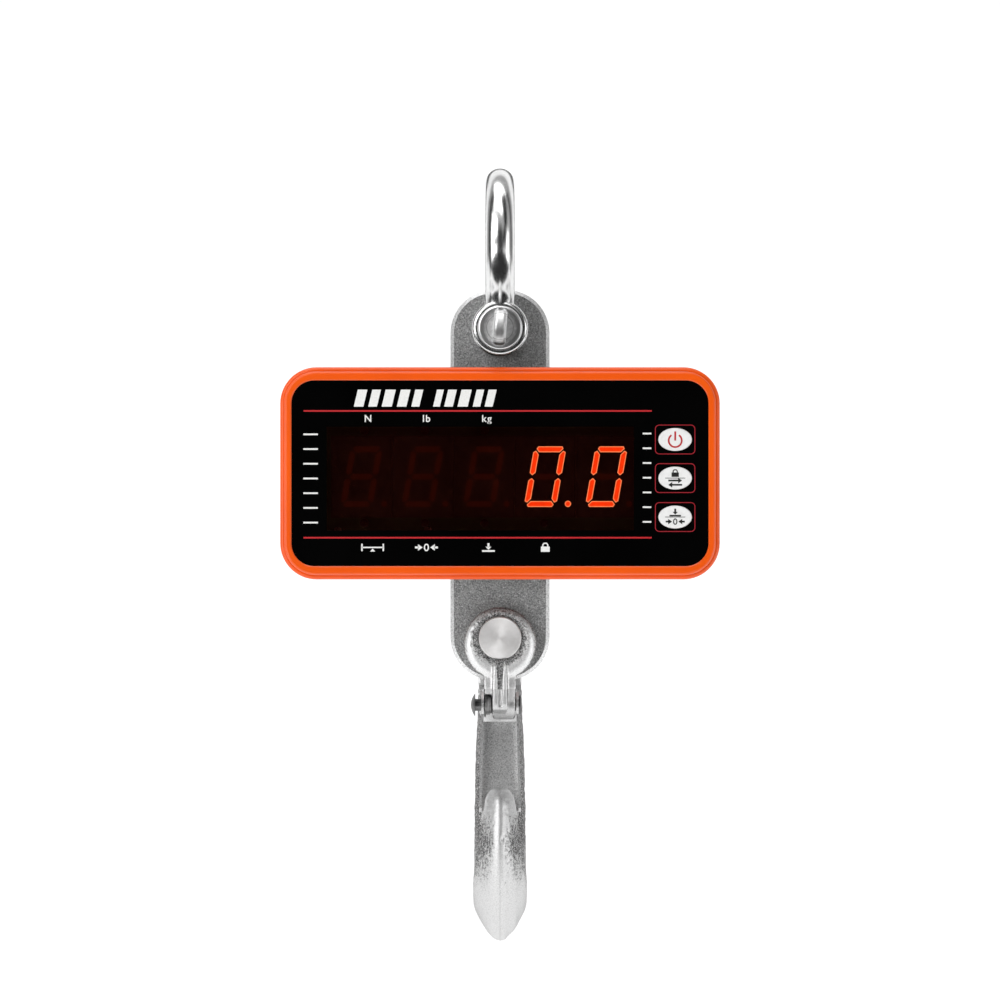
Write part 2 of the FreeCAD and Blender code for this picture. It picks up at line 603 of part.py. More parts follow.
def cell_screws():
    """Socket head screws that hold the rear shell to the load cell."""
    screws = []
    for x in CELL_SCREW_X:
        top = HEAD_SEAT_Y + CELL_HEAD_T
        head = rod("y", CELL_HEAD_R, HEAD_SEAT_Y, top, x, CELL_SCREW_Z)
        head = head.makeFillet(HEAD_ROUND, edges_at(head, lambda p: p.y > top - TINY))
        screw = fuse(head, rod("y", CELL_SCREW_R, 1.0, HEAD_SEAT_Y + OVERLAP, x, CELL_SCREW_Z))
        screws.append(screw.cut(hexagon(HEX_R, top - HEX_DEPTH, REAR_Y + 1, x, CELL_SCREW_Z)))
    return screws


# ---- overlay, window and keys ----------------------------------------------
def window_block(y0, y1):
    wide = WINDOW_X[1] - WINDOW_X[0]
    tall = WINDOW_Z[1] - WINDOW_Z[0]
    return round_rect(wide, tall, WINDOW_R, y0, y1, sum(WINDOW_X) / 2, HOUSING_Z + sum(WINDOW_Z) / 2)


def front_panel():
    """Printed overlay in the bezel, cut out for the window and the keys."""
    panel = round_rect(PANEL_W, PANEL_H, PANEL_R, PANEL_Y, PANEL_Y + PANEL_T)
    panel = panel.cut(window_block(PANEL_Y - 1, PANEL_Y + 2))
    for z in KEY_Z:
        opening = oval(KEY_A + KEY_GAP, KEY_B + KEY_GAP, PANEL_Y - 1, PANEL_Y + 2, KEY_X, HOUSING_Z + z)
        panel = panel.cut(opening)
    return panel


def key(z):
    """Oval key with a retaining flange behind the shell and a stem over its switch."""
    front = PANEL_Y - KEY_PROUD
    cap = oval(KEY_A, KEY_B, front, KEY_FLANGE_Y[0], KEY_X, z)
    cap = cap.makeFillet(KEY_ROUND, edges_at(cap, lambda p: abs(p.y - front) < TINY))
    flange = oval(KEY_A + KEY_FLANGE[0], KEY_B + KEY_FLANGE[1], *KEY_FLANGE_Y, KEY_X, z)
    stem = rod("y", KEY_STEM_R, KEY_FLANGE_Y[1] - OVERLAP, SWITCH_TOP_Y - KEY_AIR, KEY_X, z)
    return fuse(cap, flange, stem)


def key_switches():
    switches = []
    for z in KEY_Z:
        mid = HOUSING_Z + z
        half = SWITCH_HALF
        y = (BOARD_Y[0] - SWITCH_T, BOARD_Y[0])
        body = box((KEY_X - half, KEY_X + half), y, (mid - half, mid + half))
        button = rod("y", SWITCH_R, SWITCH_TOP_Y, BOARD_Y[0] - SWITCH_T + OVERLAP, KEY_X, mid)
        switches.append(fuse(body, button))
    return switches


# ---- digits ----------------------------------------------------------------
def segment_outlines():
    """Outlines of the seven segments about the middle of a digit, before the slant."""
    w = (DIGIT_W - SEGMENT) / 2
    h = (DIGIT_H - SEGMENT) / 2
    t = SEGMENT / 2
    top = [(-w - 0.05, h + 0.15), (-w + 0.4, h + t), (w - 0.4, h + t), (w + 0.05, h + 0.15),
           (w - 0.95, h - t), (-w + 0.95, h - t)]
    left = [(-w - 0.1, h - 0.45), (-w - t, h - 0.95), (-w - t, 1.3), (-w, 0.45), (-w + t, 1.3),
            (-w + t, h - 1.75)]
    middle = [(-w + 0.55, 0), (-w + 1.4, t), (w - 1.4, t), (w - 0.55, 0), (w - 1.4, -t), (-w + 1.4, -t)]
    return {
        "a": top,
        "b": [(-x, z) for x, z in left],
        "c": [(-x, -z) for x, z in left],
        "d": [(x, -z) for x, z in top],
        "e": [(x, -z) for x, z in left],
        "f": left,
        "g": middle,
    }


def digit_pieces(index):
    """Solids of the segments and the decimal point of one digit, keyed by letter."""
    cx = DIGIT_FIRST_X + index * DIGIT_PITCH
    cz = HOUSING_Z + DIGIT_Z
    deep = V(0, SEGMENT_DEPTH, 0)
    pieces = {}
    for letter, outline in segment_outlines().items():
        points = [V(cx + x + z * SLANT, MODULE_Y[0], cz + z) for x, z in outline]
        pieces[letter] = prism(points, deep)
    low = cz - DIGIT_H / 2 + POINT_R
    front = MODULE_Y[0]
    pieces["point"] = rod("y", POINT_R, front, front + SEGMENT_DEPTH, cx + POINT_X, low)
    return pieces


def digit_module(index, pieces):
    """Block of one digit with a pocket for each segment."""
    cx = DIGIT_FIRST_X + index * DIGIT_PITCH
    cz = HOUSING_Z + DIGIT_Z
    block = box((cx - MODULE_W / 2, cx + MODULE_W / 2), MODULE_Y, (cz - MODULE_H / 2, cz + MODULE_H / 2))
    return block.cut(Part.makeCompound(list(pieces.values())))


def indicator_lamps():
    """Seven round lamps: four below the digits and three above."""
    front = MODULE_Y[0] + LAMP_SUNK
    lamps = []
    for z, xs in ((LAMP_LOW_Z, LAMP_X), (LAMP_HIGH_Z, LAMP_X[:3])):
        for x in xs:
            lamp = rod("y", LAMP_R, front, BOARD_Y[0], x, HOUSING_Z + z)
            lamps.append(lamp.makeFillet(LAMP_ROUND, edges_at(lamp, lambda p: p.y < front + TINY)))
    return lamps


# ---- boards and battery ----------------------------------------------------
def board(x, y, z, holes):
    plate = box(x, y, z)
    for hx, hz in holes:
        plate = plate.cut(rod("y", BOARD_SCREW_R, y[0] - 1, y[1] + 1, hx, hz))
    return plate


def board_spacers():
    """Hexagonal spacers between the display board and the main board."""
    spacers = []
    for x, z in SPACERS:
        spacer = hexagon(SPACER_R, BOARD_Y[1], MAIN_Y[0], x, z)
        spacers.append(spacer.cut(rod("y", BOARD_SCREW_R, BOARD_Y[1] - 1, MAIN_Y[0] + 1, x, z)))
    return spacers


def board_screws():
    """Screws through the main board and the spacers into the display board."""
    screws = []
    for x, z in SPACERS:
        head = rod("y", BOARD_HEAD_R, MAIN_Y[1], MAIN_Y[1] + BOARD_HEAD_T, x, z)
        screw = fuse(head, rod("y", BOARD_SCREW_R, BOARD_Y[0], MAIN_Y[1] + OVERLAP, x, z))
        screws.append(cross_recess(screw, x, z, MAIN_Y[1] + BOARD_HEAD_T, SMALL_RECESS))
    return screws


def board_header():
    """Pin header that joins the two boards."""
    return box(HEADER_X, (BOARD_Y[1], MAIN_Y[0]), HEADER_Z)


def battery_pack():
    pack = box(BATTERY_X, BATTERY_Y, BATTERY_Z)
    upright = [edge for edge in pack.Edges if abs(edge.Vertexes[0].Z - edge.Vertexes[1].Z) > 1]
    return pack.makeFillet(BATTERY_ROUND, upright)


def battery_clamp():
    """Bent strap over the battery, with a foot on the rear wall at each end."""
    x = CLAMP_X
    t = CLAMP_T
    low = BATTERY_Z[0] - t
    high = BATTERY_Z[1] + t
    bridge = box(x, (BATTERY_Y[0] - t, BATTERY_Y[0]), (low, high))
    legs = [box(x, (BATTERY_Y[0] - t, SHELL_IN_REAR), (low, BATTERY_Z[0])),
            box(x, (BATTERY_Y[0] - t, SHELL_IN_REAR), (BATTERY_Z[1], high))]
    feet = [box(x, (SHELL_IN_REAR - t, SHELL_IN_REAR), (low - CLAMP_FOOT, low)),
            box(x, (SHELL_IN_REAR - t, SHELL_IN_REAR), (high, high + CLAMP_FOOT))]
    return fuse(bridge, *(legs + feet))


def battery_pad():
    return box(BATTERY_X, (BATTERY_Y[1], SHELL_IN_REAR), BATTERY_Z)


def battery_lead():
    x, y, z = BATTERY_LEAD_X, BATTERY_LEAD_Y, BATTERY_LEAD_Z
    return tube([(BATTERY_X[0], y, z), (x, y, z), (x, MAIN_Y[1], z)], LEAD_BEND, BATTERY_LEAD_R)


def buzzer():
    top = MAIN_Y[1] + BUZZER_T
    radius, depth = BUZZER_HOLE
    can = rod("y", BUZZER_R, MAIN_Y[1], top, BUZZER_X, BUZZER_Z)
    return can.cut(rod("y", radius, top - depth, top + 1, BUZZER_X, BUZZER_Z))


# ---- charging port ---------------------------------------------------------
def charge_jack():
    """Barrel socket through the rear wall with a flange inside and a centre pin."""
    body = rod("y", PORT_R, JACK_Y, REAR_Y, PORT_X, PORT_Z)
    flange = rod("y", *JACK_FLANGE, SHELL_IN_REAR, PORT_X, PORT_Z)
    socket = rod("y", *JACK_BORE, REAR_Y + 1, PORT_X, PORT_Z)
    pin = rod("y", *JACK_PIN, REAR_Y - 1, PORT_X, PORT_Z)
    return fuse(fuse(body, flange).cut(socket), pin)


def port_cover():
    """Rubber flap over the socket, hung on its strap."""
    back = REAR_Y + COVER_GAP
    half = COVER_HALF
    disc = rod("y", COVER_R, back, back + COVER_T, PORT_X, PORT_Z)
    disc = disc.makeFillet(COVER_ROUND, edges_at(disc, lambda p: p.y > back + COVER_T - TINY))
    neck = box((PORT_X - half, PORT_X + half), (back, back + COVER_T), (PORT_Z, COVER_HINGE_Z))
    bead = rod("x", HINGE_R, PORT_X - half, PORT_X + half, back + HINGE_R, COVER_HINGE_Z)
    wide, low, high = COVER_TIP
    tip = box((PORT_X - wide, PORT_X + wide), (back, back + COVER_T), (PORT_Z - low, PORT_Z - high))
    return fuse(disc, neck, bead, tip)


def port_strap():
    """Anchor of the flap: a stud in the rear wall and two cheeks beside the bend."""
    y = (REAR_Y, REAR_Y + STRAP_T)
    pad_z = COVER_HINGE_Z + 1.2
    pad = box((PORT_X - STRAP_HALF, PORT_X + STRAP_HALF), y, (pad_z, STRAP_Z + STRAP_CHEEK))
    cheeks = []
    for side in (-1, 1):
        span = sorted((PORT_X + side * STRAP_CHEEK, PORT_X + side * STRAP_HALF))
        cheeks.append(box(span, y, (COVER_HINGE_Z - 1.0, pad_z + 0.1)))
    wide, long = STRAP_BARB
    stud = rod("y", STRAP_STUD_R, SHELL_IN_REAR, REAR_Y + OVERLAP, PORT_X, STRAP_Z)
    barb = rod("y", STRAP_STUD_R + wide, SHELL_IN_REAR - long, SHELL_IN_REAR, PORT_X, STRAP_Z)
    return fuse(pad, *(cheeks + [stud, barb]))


# ---- hook ------------------------------------------------------------------
def hook_section(inner, outer, half):
    """Closed outline of one section, in a right and a left half that meet square to the middle."""
    a = V(0, inner[0], HOUSING_Z + inner[1])
    b = V(0, outer[0], HOUSING_Z + outer[1])
    right = [a + (b - a) * share + V(half * wide, 0, 0) for share, wide in SECTION_SHAPE]
    left = [V(-p.x, p.y, p.z) for p in reversed(right)]
    there = Part.BSplineCurve()
    there.interpolate(Points=[a] + right + [b], InitialTangent=V(1, 0, 0), FinalTangent=V(-1, 0, 0))
    back = Part.BSplineCurve()
    back.interpolate(Points=[b] + left + [a], InitialTangent=V(-1, 0, 0), FinalTangent=V(1, 0, 0))
    return Part.Wire([there.toShape(), back.toShape()])


def side_prism(points, half):
    """Extrusion across X of an outline given as (y, z below the middle of the housing)."""
    return prism([V(-half, y, HOUSING_Z + z) for y, z in points], V(2 * half, 0, 0))


def grooved_rib():
    """Rib below the pin: wider downwards, with a round end and a groove along its front."""
    (top_half, top), (end_half, end) = RIB_TOP, RIB_END
    corners = [V(x, -RIB_OUT, HOUSING_Z + z) for x, z in ((-end_half, end), (-top_half, top), (top_half, top),
                                                          (end_half, end))]
    sides = [Part.LineSegment(a, b).toShape() for a, b in zip(corners, corners[1:])]
    bottom = V(0, -RIB_OUT, HOUSING_Z + end - end_half)
    outline = Part.Wire(sides + [Part.Arc(corners[3], bottom, corners[0]).toShape()])
    rib = Part.Face(outline).extrude(V(0, RIB_OUT + RIB_BACK, 0))
    rib = rib.makeFillet(RIB_ROUND, edges_at(rib, lambda p: p.y < TINY - RIB_OUT))
    rib = rib.common(side_prism(RIB_SIDE, NECK_HALF))
    (top_half, top), (end_half, end) = GROOVE_TOP, GROOVE_END
    groove = prism([V(x, -RIB_OUT - 1, HOUSING_Z + z) for x, z in ((-end_half, end), (-top_half, top),
                                                                   (top_half, top), (end_half, end))],
                   V(0, 1 + GROOVE_DEPTH, 0))
    return rib.cut(groove)


def on_crotch(p):
    """True on the two lower edges of the clevis gap."""
    return abs(p.z - LOWER_PIN_Z + CROTCH) < TINY and abs(abs(p.y) - CLEVIS_GAP) < TINY


def hook_forging():
    """Clevis, neck and hook in one forging."""
    ear_z = LOWER_PIN_Z - CLEVIS_DROP
    ears = rod("y", CLEVIS_R, -CLEVIS_OUT, CLEVIS_OUT, 0, ear_z)
    ears = ears.makeFillet(CLEVIS_ROUND, edges_at(ears, lambda p: abs(abs(p.y) - CLEVIS_OUT) < TINY))
    wide, narrow, deep = CLEVIS_DISH
    for side in (-1, 1):
        face = V(0, side * CLEVIS_OUT, LOWER_PIN_Z)
        ears = ears.cut(Part.makeCone(wide, narrow, deep, face, V(0, -side, 0)))
    neck = side_prism([(-3.0, -60.0), (CLEVIS_OUT - 1.0, -60.0), (CLEVIS_OUT - 0.5, -70.0), (18.0, -79.0),
                       (10.0, -86.0), (3.0, -84.0), (-1.4, -79.2), (-3.0, -77.8)], NECK_HALF)
    web = side_prism([(-CLEVIS_OUT + 1.2, -60.0), (-CLEVIS_OUT + 1.2, -71.0), (-12.8, -76.5), (-8.0, -82.0),
                      (-3.3, -79.0), (2.0, -76.0), (4.0, -60.0)], WEB_HALF)
    boss = rod("x", NECK_BOSS_R, -WEB_HALF, WEB_HALF, LATCH_Y, LATCH_Z)
    rear_rib = side_prism([(RIB_OUT, -55.0), (RIB_OUT, -72.0), (RIB_OUT + 1.5, -79.0), (9.0, -79.0),
                           (9.0, -55.0)], RIB_END[0])
    hook = Part.makeLoft([hook_section(*row) for row in HOOK_SECTIONS], True, False)
    shape = fuse(ears, neck, web, boss, grooved_rib(), rear_rib, hook)
    gap_top = LOWER_PIN_Z + 40.0
    gap = box((-30, 30), (-CLEVIS_GAP, CLEVIS_GAP), (LOWER_PIN_Z - CROTCH, gap_top))
    gap = gap.makeFillet(CROTCH_ROUND, edges_at(gap, on_crotch))
    shape = shape.cut(gap)
    shape = shape.cut(rod("y", CLEVIS_PIN_R, -30, 30, 0, LOWER_PIN_Z))
    shape = shape.cut(rod("x", RIVET_R, -30, 30, LATCH_Y, LATCH_Z))
    shape = shape.cut(spring_notch())
    return shape.cut(rod("z", ROLL_R, LOWER_PIN_Z - 3, LOWER_PIN_Z + 40, 0, ROLL_Y))


def clevis_pin():
    end = CLEVIS_OUT + CLEVIS_PIN_PROUD
    pin = rod("y", CLEVIS_PIN_R, -end, end, 0, LOWER_PIN_Z)
    pin = pin.makeChamfer(CLEVIS_PIN_CHAMFER, edges_at(pin, lambda p: abs(p.y) > CLEVIS_OUT))
    return pin.cut(rod("z", ROLL_R, ROLL_BOTTOM_Z, LOWER_PIN_Z + 20, 0, ROLL_Y))


def pin_retainer():
    """Slotted roll pin down through the rear ear into the clevis pin."""
    roll = rod("z", ROLL_R, ROLL_BOTTOM_Z, ROLL_TOP_Z, 0, ROLL_Y)
    roll = roll.cut(rod("z", ROLL_R - ROLL_WALL, ROLL_BOTTOM_Z - 1, ROLL_TOP_Z + 1, 0, ROLL_Y))
    return roll.cut(box((-ROLL_SLOT, ROLL_SLOT), (ROLL_Y, ROLL_Y + 3), (ROLL_BOTTOM_Z - 1, ROLL_TOP_Z + 1)))


# ---- latch -----------------------------------------------------------------
def latch_frame(u, v, x):
    """Point of the closed latch: u down along it, v forward of it, x across it."""
    t = math.radians(LATCH_TILT)
    return V(x, LATCH_Y - u * math.sin(t) - v * math.cos(t), LATCH_Z - u * math.cos(t) + v * math.sin(t))


def latch():
    """Sheet channel: a web and two flanges that end in ears on the rivet."""
    def half_at(u):
        return LATCH_TOP_HALF + (LATCH_END_HALF - LATCH_TOP_HALF) * u / LATCH_LENGTH

    pieces = []
    for side in (-1, 1):
        flange = [latch_frame(u, v, side * half_at(u)) for u, v in FLANGE]
        pieces.append(prism(flange, V(-side * LATCH_SHEET, 0, 0)))
        inner, outer = sorted((side * LATCH_TOP_HALF, side * (LATCH_TOP_HALF - LATCH_SHEET)))
        pieces.append(rod("x", LATCH_EAR_R, inner, outer, LATCH_Y, LATCH_Z))
    start, end = LATCH_WEB_START, LATCH_LENGTH
    web = prism([latch_frame(start, FLANGE_BACK, -half_at(start) + 0.1),
                 latch_frame(start, FLANGE_BACK, half_at(start) - 0.1),
                 latch_frame(end, FLANGE_BACK, half_at(end) - 0.1),
                 latch_frame(end, FLANGE_BACK, -half_at(end) + 0.1)],
                latch_frame(0, LATCH_SHEET, 0) - latch_frame(0, 0, 0))
    body = fuse(web, *pieces)
    return body.cut(rod("x", RIVET_R + FIT, -20, 20, LATCH_Y, LATCH_Z))


def latch_rivet():
    """Rivet through the neck: domed head on the left, flat closed end on the right."""
    shank = rod("x", RIVET_R, DOME_X - OVERLAP, RIVET_END_X[0] + OVERLAP, LATCH_Y, LATCH_Z)
    ball_r = (DOME_R ** 2 + DOME_T ** 2) / (2 * DOME_T)
    ball = Part.makeSphere(ball_r, V(DOME_X - DOME_T + ball_r, LATCH_Y, LATCH_Z))
    dome = ball.common(rod("x", DOME_R + 1, DOME_X - DOME_T - 1, DOME_X, LATCH_Y, LATCH_Z))
    closed = rod("x", RIVET_END_R, *RIVET_END_X, LATCH_Y, LATCH_Z)
    return fuse(shank, dome, closed)


def spring_notch():
    """Room for the latch spring in the web of the neck, open to the front and the left."""
    room = SPRING_R + SPRING_WIRE
    x = (SPRING_X[0] - NOTCH_GAP[0], SPRING_X[1] + NOTCH_GAP[1])
    front = box(x, (LATCH_Y - NOTCH_OUT, LATCH_Y), (LATCH_Z - NOTCH_DOWN, LATCH_Z + room))
    below = box(x, (LATCH_Y, LATCH_Y + room), (LATCH_Z - NOTCH_DOWN, LATCH_Z))
    return fuse(rod("x", room, x[0], x[1], LATCH_Y, LATCH_Z), front, below)


def latch_spring():
    """Torsion spring on the rivet: close turns, the first with a leg down behind the web of the latch."""
    r = SPRING_WIRE / 2
    turns = []
    for k in range(SPRING_TURNS):
        x = SPRING_X[0] + r + k * SPRING_PITCH
        turns.append(Part.makeTorus(SPRING_R, r, V(x, LATCH_Y, LATCH_Z), V(1, 0, 0)))
    foot = latch_frame(0, -SPRING_R, SPRING_X[0] + r)
    leg = Part.makeCylinder(r, SPRING_LEG, foot, latch_frame(1, 0, 0) - latch_frame(0, 0, 0))
    turns[0] = fuse(leg, turns[0])
    return turns


# ---- write the pieces ------------------------------------------------------
save("shackle_bow", shackle_bow())
save("shackle_pin", shackle_pin())
save("load_cell", load_cell())
save("strain_gauges", *strain_gauges())
save("gauge_covers", *gauge_covers())
save("gauge_lead", gauge_lead())
save("front_housing", front_housing())
save("rear_housing", rear_housing())
save("housing_gasket", housing_gasket())
save("plate_seals", *plate_seals())
save("housing_screws", *housing_screws())
save("cell_screws", *cell_screws())
save("front_panel", front_panel())
save("display_window", window_block(PANEL_Y, PANEL_Y + PANEL_T))
save("key_power", key(HOUSING_Z + KEY_Z[0]))
save("key_hold_unit", key(HOUSING_Z + KEY_Z[1]))
save("key_tare_zero", key(HOUSING_Z + KEY_Z[2]))
save("key_switches", *key_switches())

lit = []
unlit = []
for number, on in enumerate(LIT):
    digit = digit_pieces(number)
    save("digit_module_" + str(number + 1), digit_module(number, digit))
    lit += [piece for letter, piece in digit.items() if letter in on]
    unlit += [piece for letter, piece in digit.items() if letter not in on]
save("led_segments_lit", *lit)
save("led_segments_unlit", *unlit)
save("indicator_lamps", *indicator_lamps())

save("display_board", board(BOARD_X, BOARD_Y, BOARD_Z, SPACERS))
save("main_board", board(MAIN_X, MAIN_Y, BOARD_Z, SPACERS))
save("board_header", board_header())
save("board_spacers", *board_spacers())
save("board_screws", *board_screws())
save("battery_pack", battery_pack())
save("battery_pad", battery_pad())
save("battery_clamp", battery_clamp())
save("battery_lead", battery_lead())
save("buzzer", buzzer())
save("charge_jack", charge_jack())
save("port_cover", port_cover())
save("port_strap", port_strap())
save("rating_label", round_rect(LABEL_W, LABEL_H, LABEL_R, *LABEL_Y, LABEL_X, LABEL_Z))

save("hook_forging", hook_forging())
save("clevis_pin", clevis_pin())
save("pin_retainer", pin_retainer())
save("latch", latch())
save("latch_rivet", latch_rivet())
save("latch_spring", *latch_spring())
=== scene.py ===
import json
import math

import bmesh
import bpy
import numpy as np
from mathutils import Matrix, Vector, noise


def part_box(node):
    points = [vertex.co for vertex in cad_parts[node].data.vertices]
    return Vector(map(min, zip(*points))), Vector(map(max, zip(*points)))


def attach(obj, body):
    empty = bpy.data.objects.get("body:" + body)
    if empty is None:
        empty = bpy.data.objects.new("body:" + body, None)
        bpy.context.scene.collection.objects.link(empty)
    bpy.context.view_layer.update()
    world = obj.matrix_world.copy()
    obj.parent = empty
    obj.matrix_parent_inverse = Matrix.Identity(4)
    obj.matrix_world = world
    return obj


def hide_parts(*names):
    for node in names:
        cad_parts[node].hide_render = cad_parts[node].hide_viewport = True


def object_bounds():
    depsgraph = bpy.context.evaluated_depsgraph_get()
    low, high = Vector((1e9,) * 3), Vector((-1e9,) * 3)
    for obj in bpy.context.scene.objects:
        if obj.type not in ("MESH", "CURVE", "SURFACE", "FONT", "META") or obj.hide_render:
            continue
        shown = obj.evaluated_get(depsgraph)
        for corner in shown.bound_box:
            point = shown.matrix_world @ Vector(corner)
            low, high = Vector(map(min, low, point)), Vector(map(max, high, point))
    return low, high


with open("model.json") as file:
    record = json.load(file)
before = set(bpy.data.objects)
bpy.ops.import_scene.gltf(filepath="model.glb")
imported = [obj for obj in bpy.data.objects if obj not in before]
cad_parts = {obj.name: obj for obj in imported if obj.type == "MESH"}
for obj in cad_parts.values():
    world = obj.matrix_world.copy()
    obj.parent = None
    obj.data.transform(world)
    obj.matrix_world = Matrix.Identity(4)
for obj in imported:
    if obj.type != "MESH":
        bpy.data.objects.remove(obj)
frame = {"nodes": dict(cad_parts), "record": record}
cad_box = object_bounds()
nodes = frame["nodes"]
joints = {joint["name"]: joint for joint in frame["record"]["behaviour"]["joints"]}
MM = 0.001

# ---- places taken from the frame ---------------------------------------------
shell_low, shell_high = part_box("front_housing")
HOUSING_Z = (shell_low[2] + shell_high[2]) / 2
PANEL_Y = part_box("front_panel")[0][1]
UPPER_PIN = Vector(joints["scale_swing"]["pos_m"])
LOWER_PIN = Vector(joints["hook_swing"]["pos_m"])
LATCH_PIN = Vector(joints["latch_hinge"]["pos_m"])
KEYS = ("key_power", "key_hold_unit", "key_tare_zero")

# ---- where the forging changes its skin ------------------------------------------
CLEVIS_END = LOWER_PIN.z - 17 * MM            # clevis and rib above, hook below
HOOK_START = LOWER_PIN.z - 26 * MM            # below this the hook is one smooth bend
SPINE_Y = -15 * MM                            # the spine lies behind this
POINT_Y = -20 * MM                            # the point lies in front of this
RIB_FLOOR = (1.4, -15.4, 0.5)                 # mm: half width, depth and play of the rib's groove
FLANK_SHADE_PAST_POINT = (HOUSING_Z - 108 * MM, HOUSING_Z - 120 * MM)     # front of the hook: bright, then dark speckle of pits and painted shade
FLANK_SHADE_ABOVE_BEND = (HOUSING_Z - 140 * MM, HOUSING_Z - 122 * MM)     # bend: bright below, dark speckle of pits and painted shade from here up
SMOOTH_BEND = (HOUSING_Z - 136 * MM, 14 * MM)                  # no dents below, and the height they grow over
PIT = Vector((0.9 * MM, 0.0, HOUSING_Z - 119.6 * MM))          # one deeper pit beside the parting line


# ---- shader helpers ------------------------------------------------------------
class Shader:
    """A node material with one Principled shader, built step by step."""

    def __init__(self, name, color=(0.8, 0.8, 0.8), **sockets):
        self.material = bpy.data.materials.new(name)
        self.material.use_nodes = True
        self.tree = self.material.node_tree
        self.surface = self.tree.nodes["Principled BSDF"]
        self.set(self.surface, {"Base Color": (*color, 1.0), **sockets})
        self.place = self.add("ShaderNodeTexCoord").outputs["Object"]
        self.height = None

    def set(self, node, values):
        for key, value in values.items():
            node.inputs[key].default_value = value

    def add(self, kind, values=None, **props):
        node = self.tree.nodes.new(kind)
        for key, value in props.items():
            setattr(node, key, value)
        self.set(node, values or {})
        return node

    def link(self, out, into):
        self.tree.links.new(out, into)

    def noise(self, feature_mm, detail=3.0, roughness=0.55, stretch=None):
        """Noise with features of about that size; stretch squeezes it along the axes."""
        node = self.add("ShaderNodeTexNoise", {"Scale": 1 / (feature_mm * MM), "Detail": detail,
                                               "Roughness": roughness})
        place = self.place
        if stretch:
            mapping = self.add("ShaderNodeMapping", {"Scale": stretch})
            self.link(place, mapping.inputs["Vector"])
            place = mapping.outputs["Vector"]
        self.link(place, node.inputs["Vector"])
        return node.outputs["Fac"]

    def cells(self, size_mm):
        """Distance from the middle of round cells of about that size."""
        node = self.add("ShaderNodeTexVoronoi", {"Scale": 1 / (size_mm * MM)}, feature="F1")
        self.link(self.place, node.inputs["Vector"])
        return node.outputs["Distance"]

    def ramp(self, value, stops):
        """Colour or grey ramp; stops are (place, colour) pairs."""
        node = self.add("ShaderNodeValToRGB")
        elements = node.color_ramp.elements
        while len(elements) < len(stops):
            elements.new(0.5)
        for element, (at, color) in zip(elements, stops):
            element.position = at
            element.color = (*color, 1.0) if isinstance(color, tuple) else (color, color, color, 1.0)
        self.link(value, node.inputs["Fac"])
        return node.outputs["Color"]

    def math(self, kind, a, b=0.0, clamp=False):
        node = self.add("ShaderNodeMath", operation=kind, use_clamp=clamp)
        for socket, value in zip(node.inputs, (a, b)):
            if isinstance(value, (int, float)):
                socket.default_value = value
            else:
                self.link(value, socket)
        return node.outputs["Value"]

    def mix(self, kind, factor, a, b):
        node = self.add("ShaderNodeMix", data_type="RGBA", blend_type=kind)
        for socket, value in ((node.inputs[0], factor), (node.inputs[6], a), (node.inputs[7], b)):
            if isinstance(value, tuple):
                socket.default_value = (*value, 1.0)
            elif isinstance(value, (int, float)):
                socket.default_value = value
            else:
                self.link(value, socket)
        return node.outputs[2]

    def steep(self, axis, low, high):
        """0..1 as the surface turns to face along an axis of the part."""
        surface = self.add("ShaderNodeNewGeometry")
        split = self.add("ShaderNodeSeparateXYZ")
        self.link(surface.outputs["Normal"], split.inputs["Vector"])
        return self.span(self.math("ABSOLUTE", split.outputs[axis]), low, high)

    def span(self, value, low, high):
        """0..1 as a value runs from low to high."""
        node = self.add("ShaderNodeMapRange", {"From Min": low, "From Max": high})
        self.link(value, node.inputs["Value"])
        return node.outputs["Result"]

    def from_axis(self, centre):
        """Distance from a pin's axis, which runs along Y."""
        away = self.add("ShaderNodeVectorMath", operation="SUBTRACT")
        away.inputs[1].default_value = centre
        self.link(self.place, away.inputs[0])
        flat = self.add("ShaderNodeVectorMath", operation="MULTIPLY")
        flat.inputs[1].default_value = (1.0, 0.0, 1.0)
        self.link(away.outputs["Vector"], flat.inputs[0])
        length = self.add("ShaderNodeVectorMath", operation="LENGTH")
        self.link(flat.outputs["Vector"], length.inputs[0])
        return length.outputs["Value"]

    def base(self, color):
        self.link(color, self.surface.inputs["Base Color"])

    def rough(self, value, low, high):
        """Roughness that runs from low to high with a 0..1 value."""
        node = self.add("ShaderNodeMapRange", {"To Min": low, "To Max": high})
        self.link(value, node.inputs["Value"])
        self.link(node.outputs["Result"], self.surface.inputs["Roughness"])

    def bump(self, value, depth_mm, strength=1.0):
        """Adds a height map on top of those before it."""
        node = self.add("ShaderNodeBump", {"Distance": depth_mm * MM, "Strength": strength})
        self.link(value, node.inputs["Height"])
        if self.height:
            self.link(self.height, node.inputs["Normal"])
        self.height = node.outputs["Normal"]
        self.link(self.height, self.surface.inputs["Normal"])


def grey(value):
    return (value, value, value)


# ---- materials -------------------------------------------------------------------
def polished_steel():
    """Polished stainless with a soft haze."""
    s = Shader("polished_steel", Metallic=1.0)
    s.rough(s.noise(3.0, 5.0), 0.18, 0.25)
    s.base(s.ramp(s.noise(9.0), [(0.35, grey(0.78)), (0.65, grey(0.90))]))
    return s.material


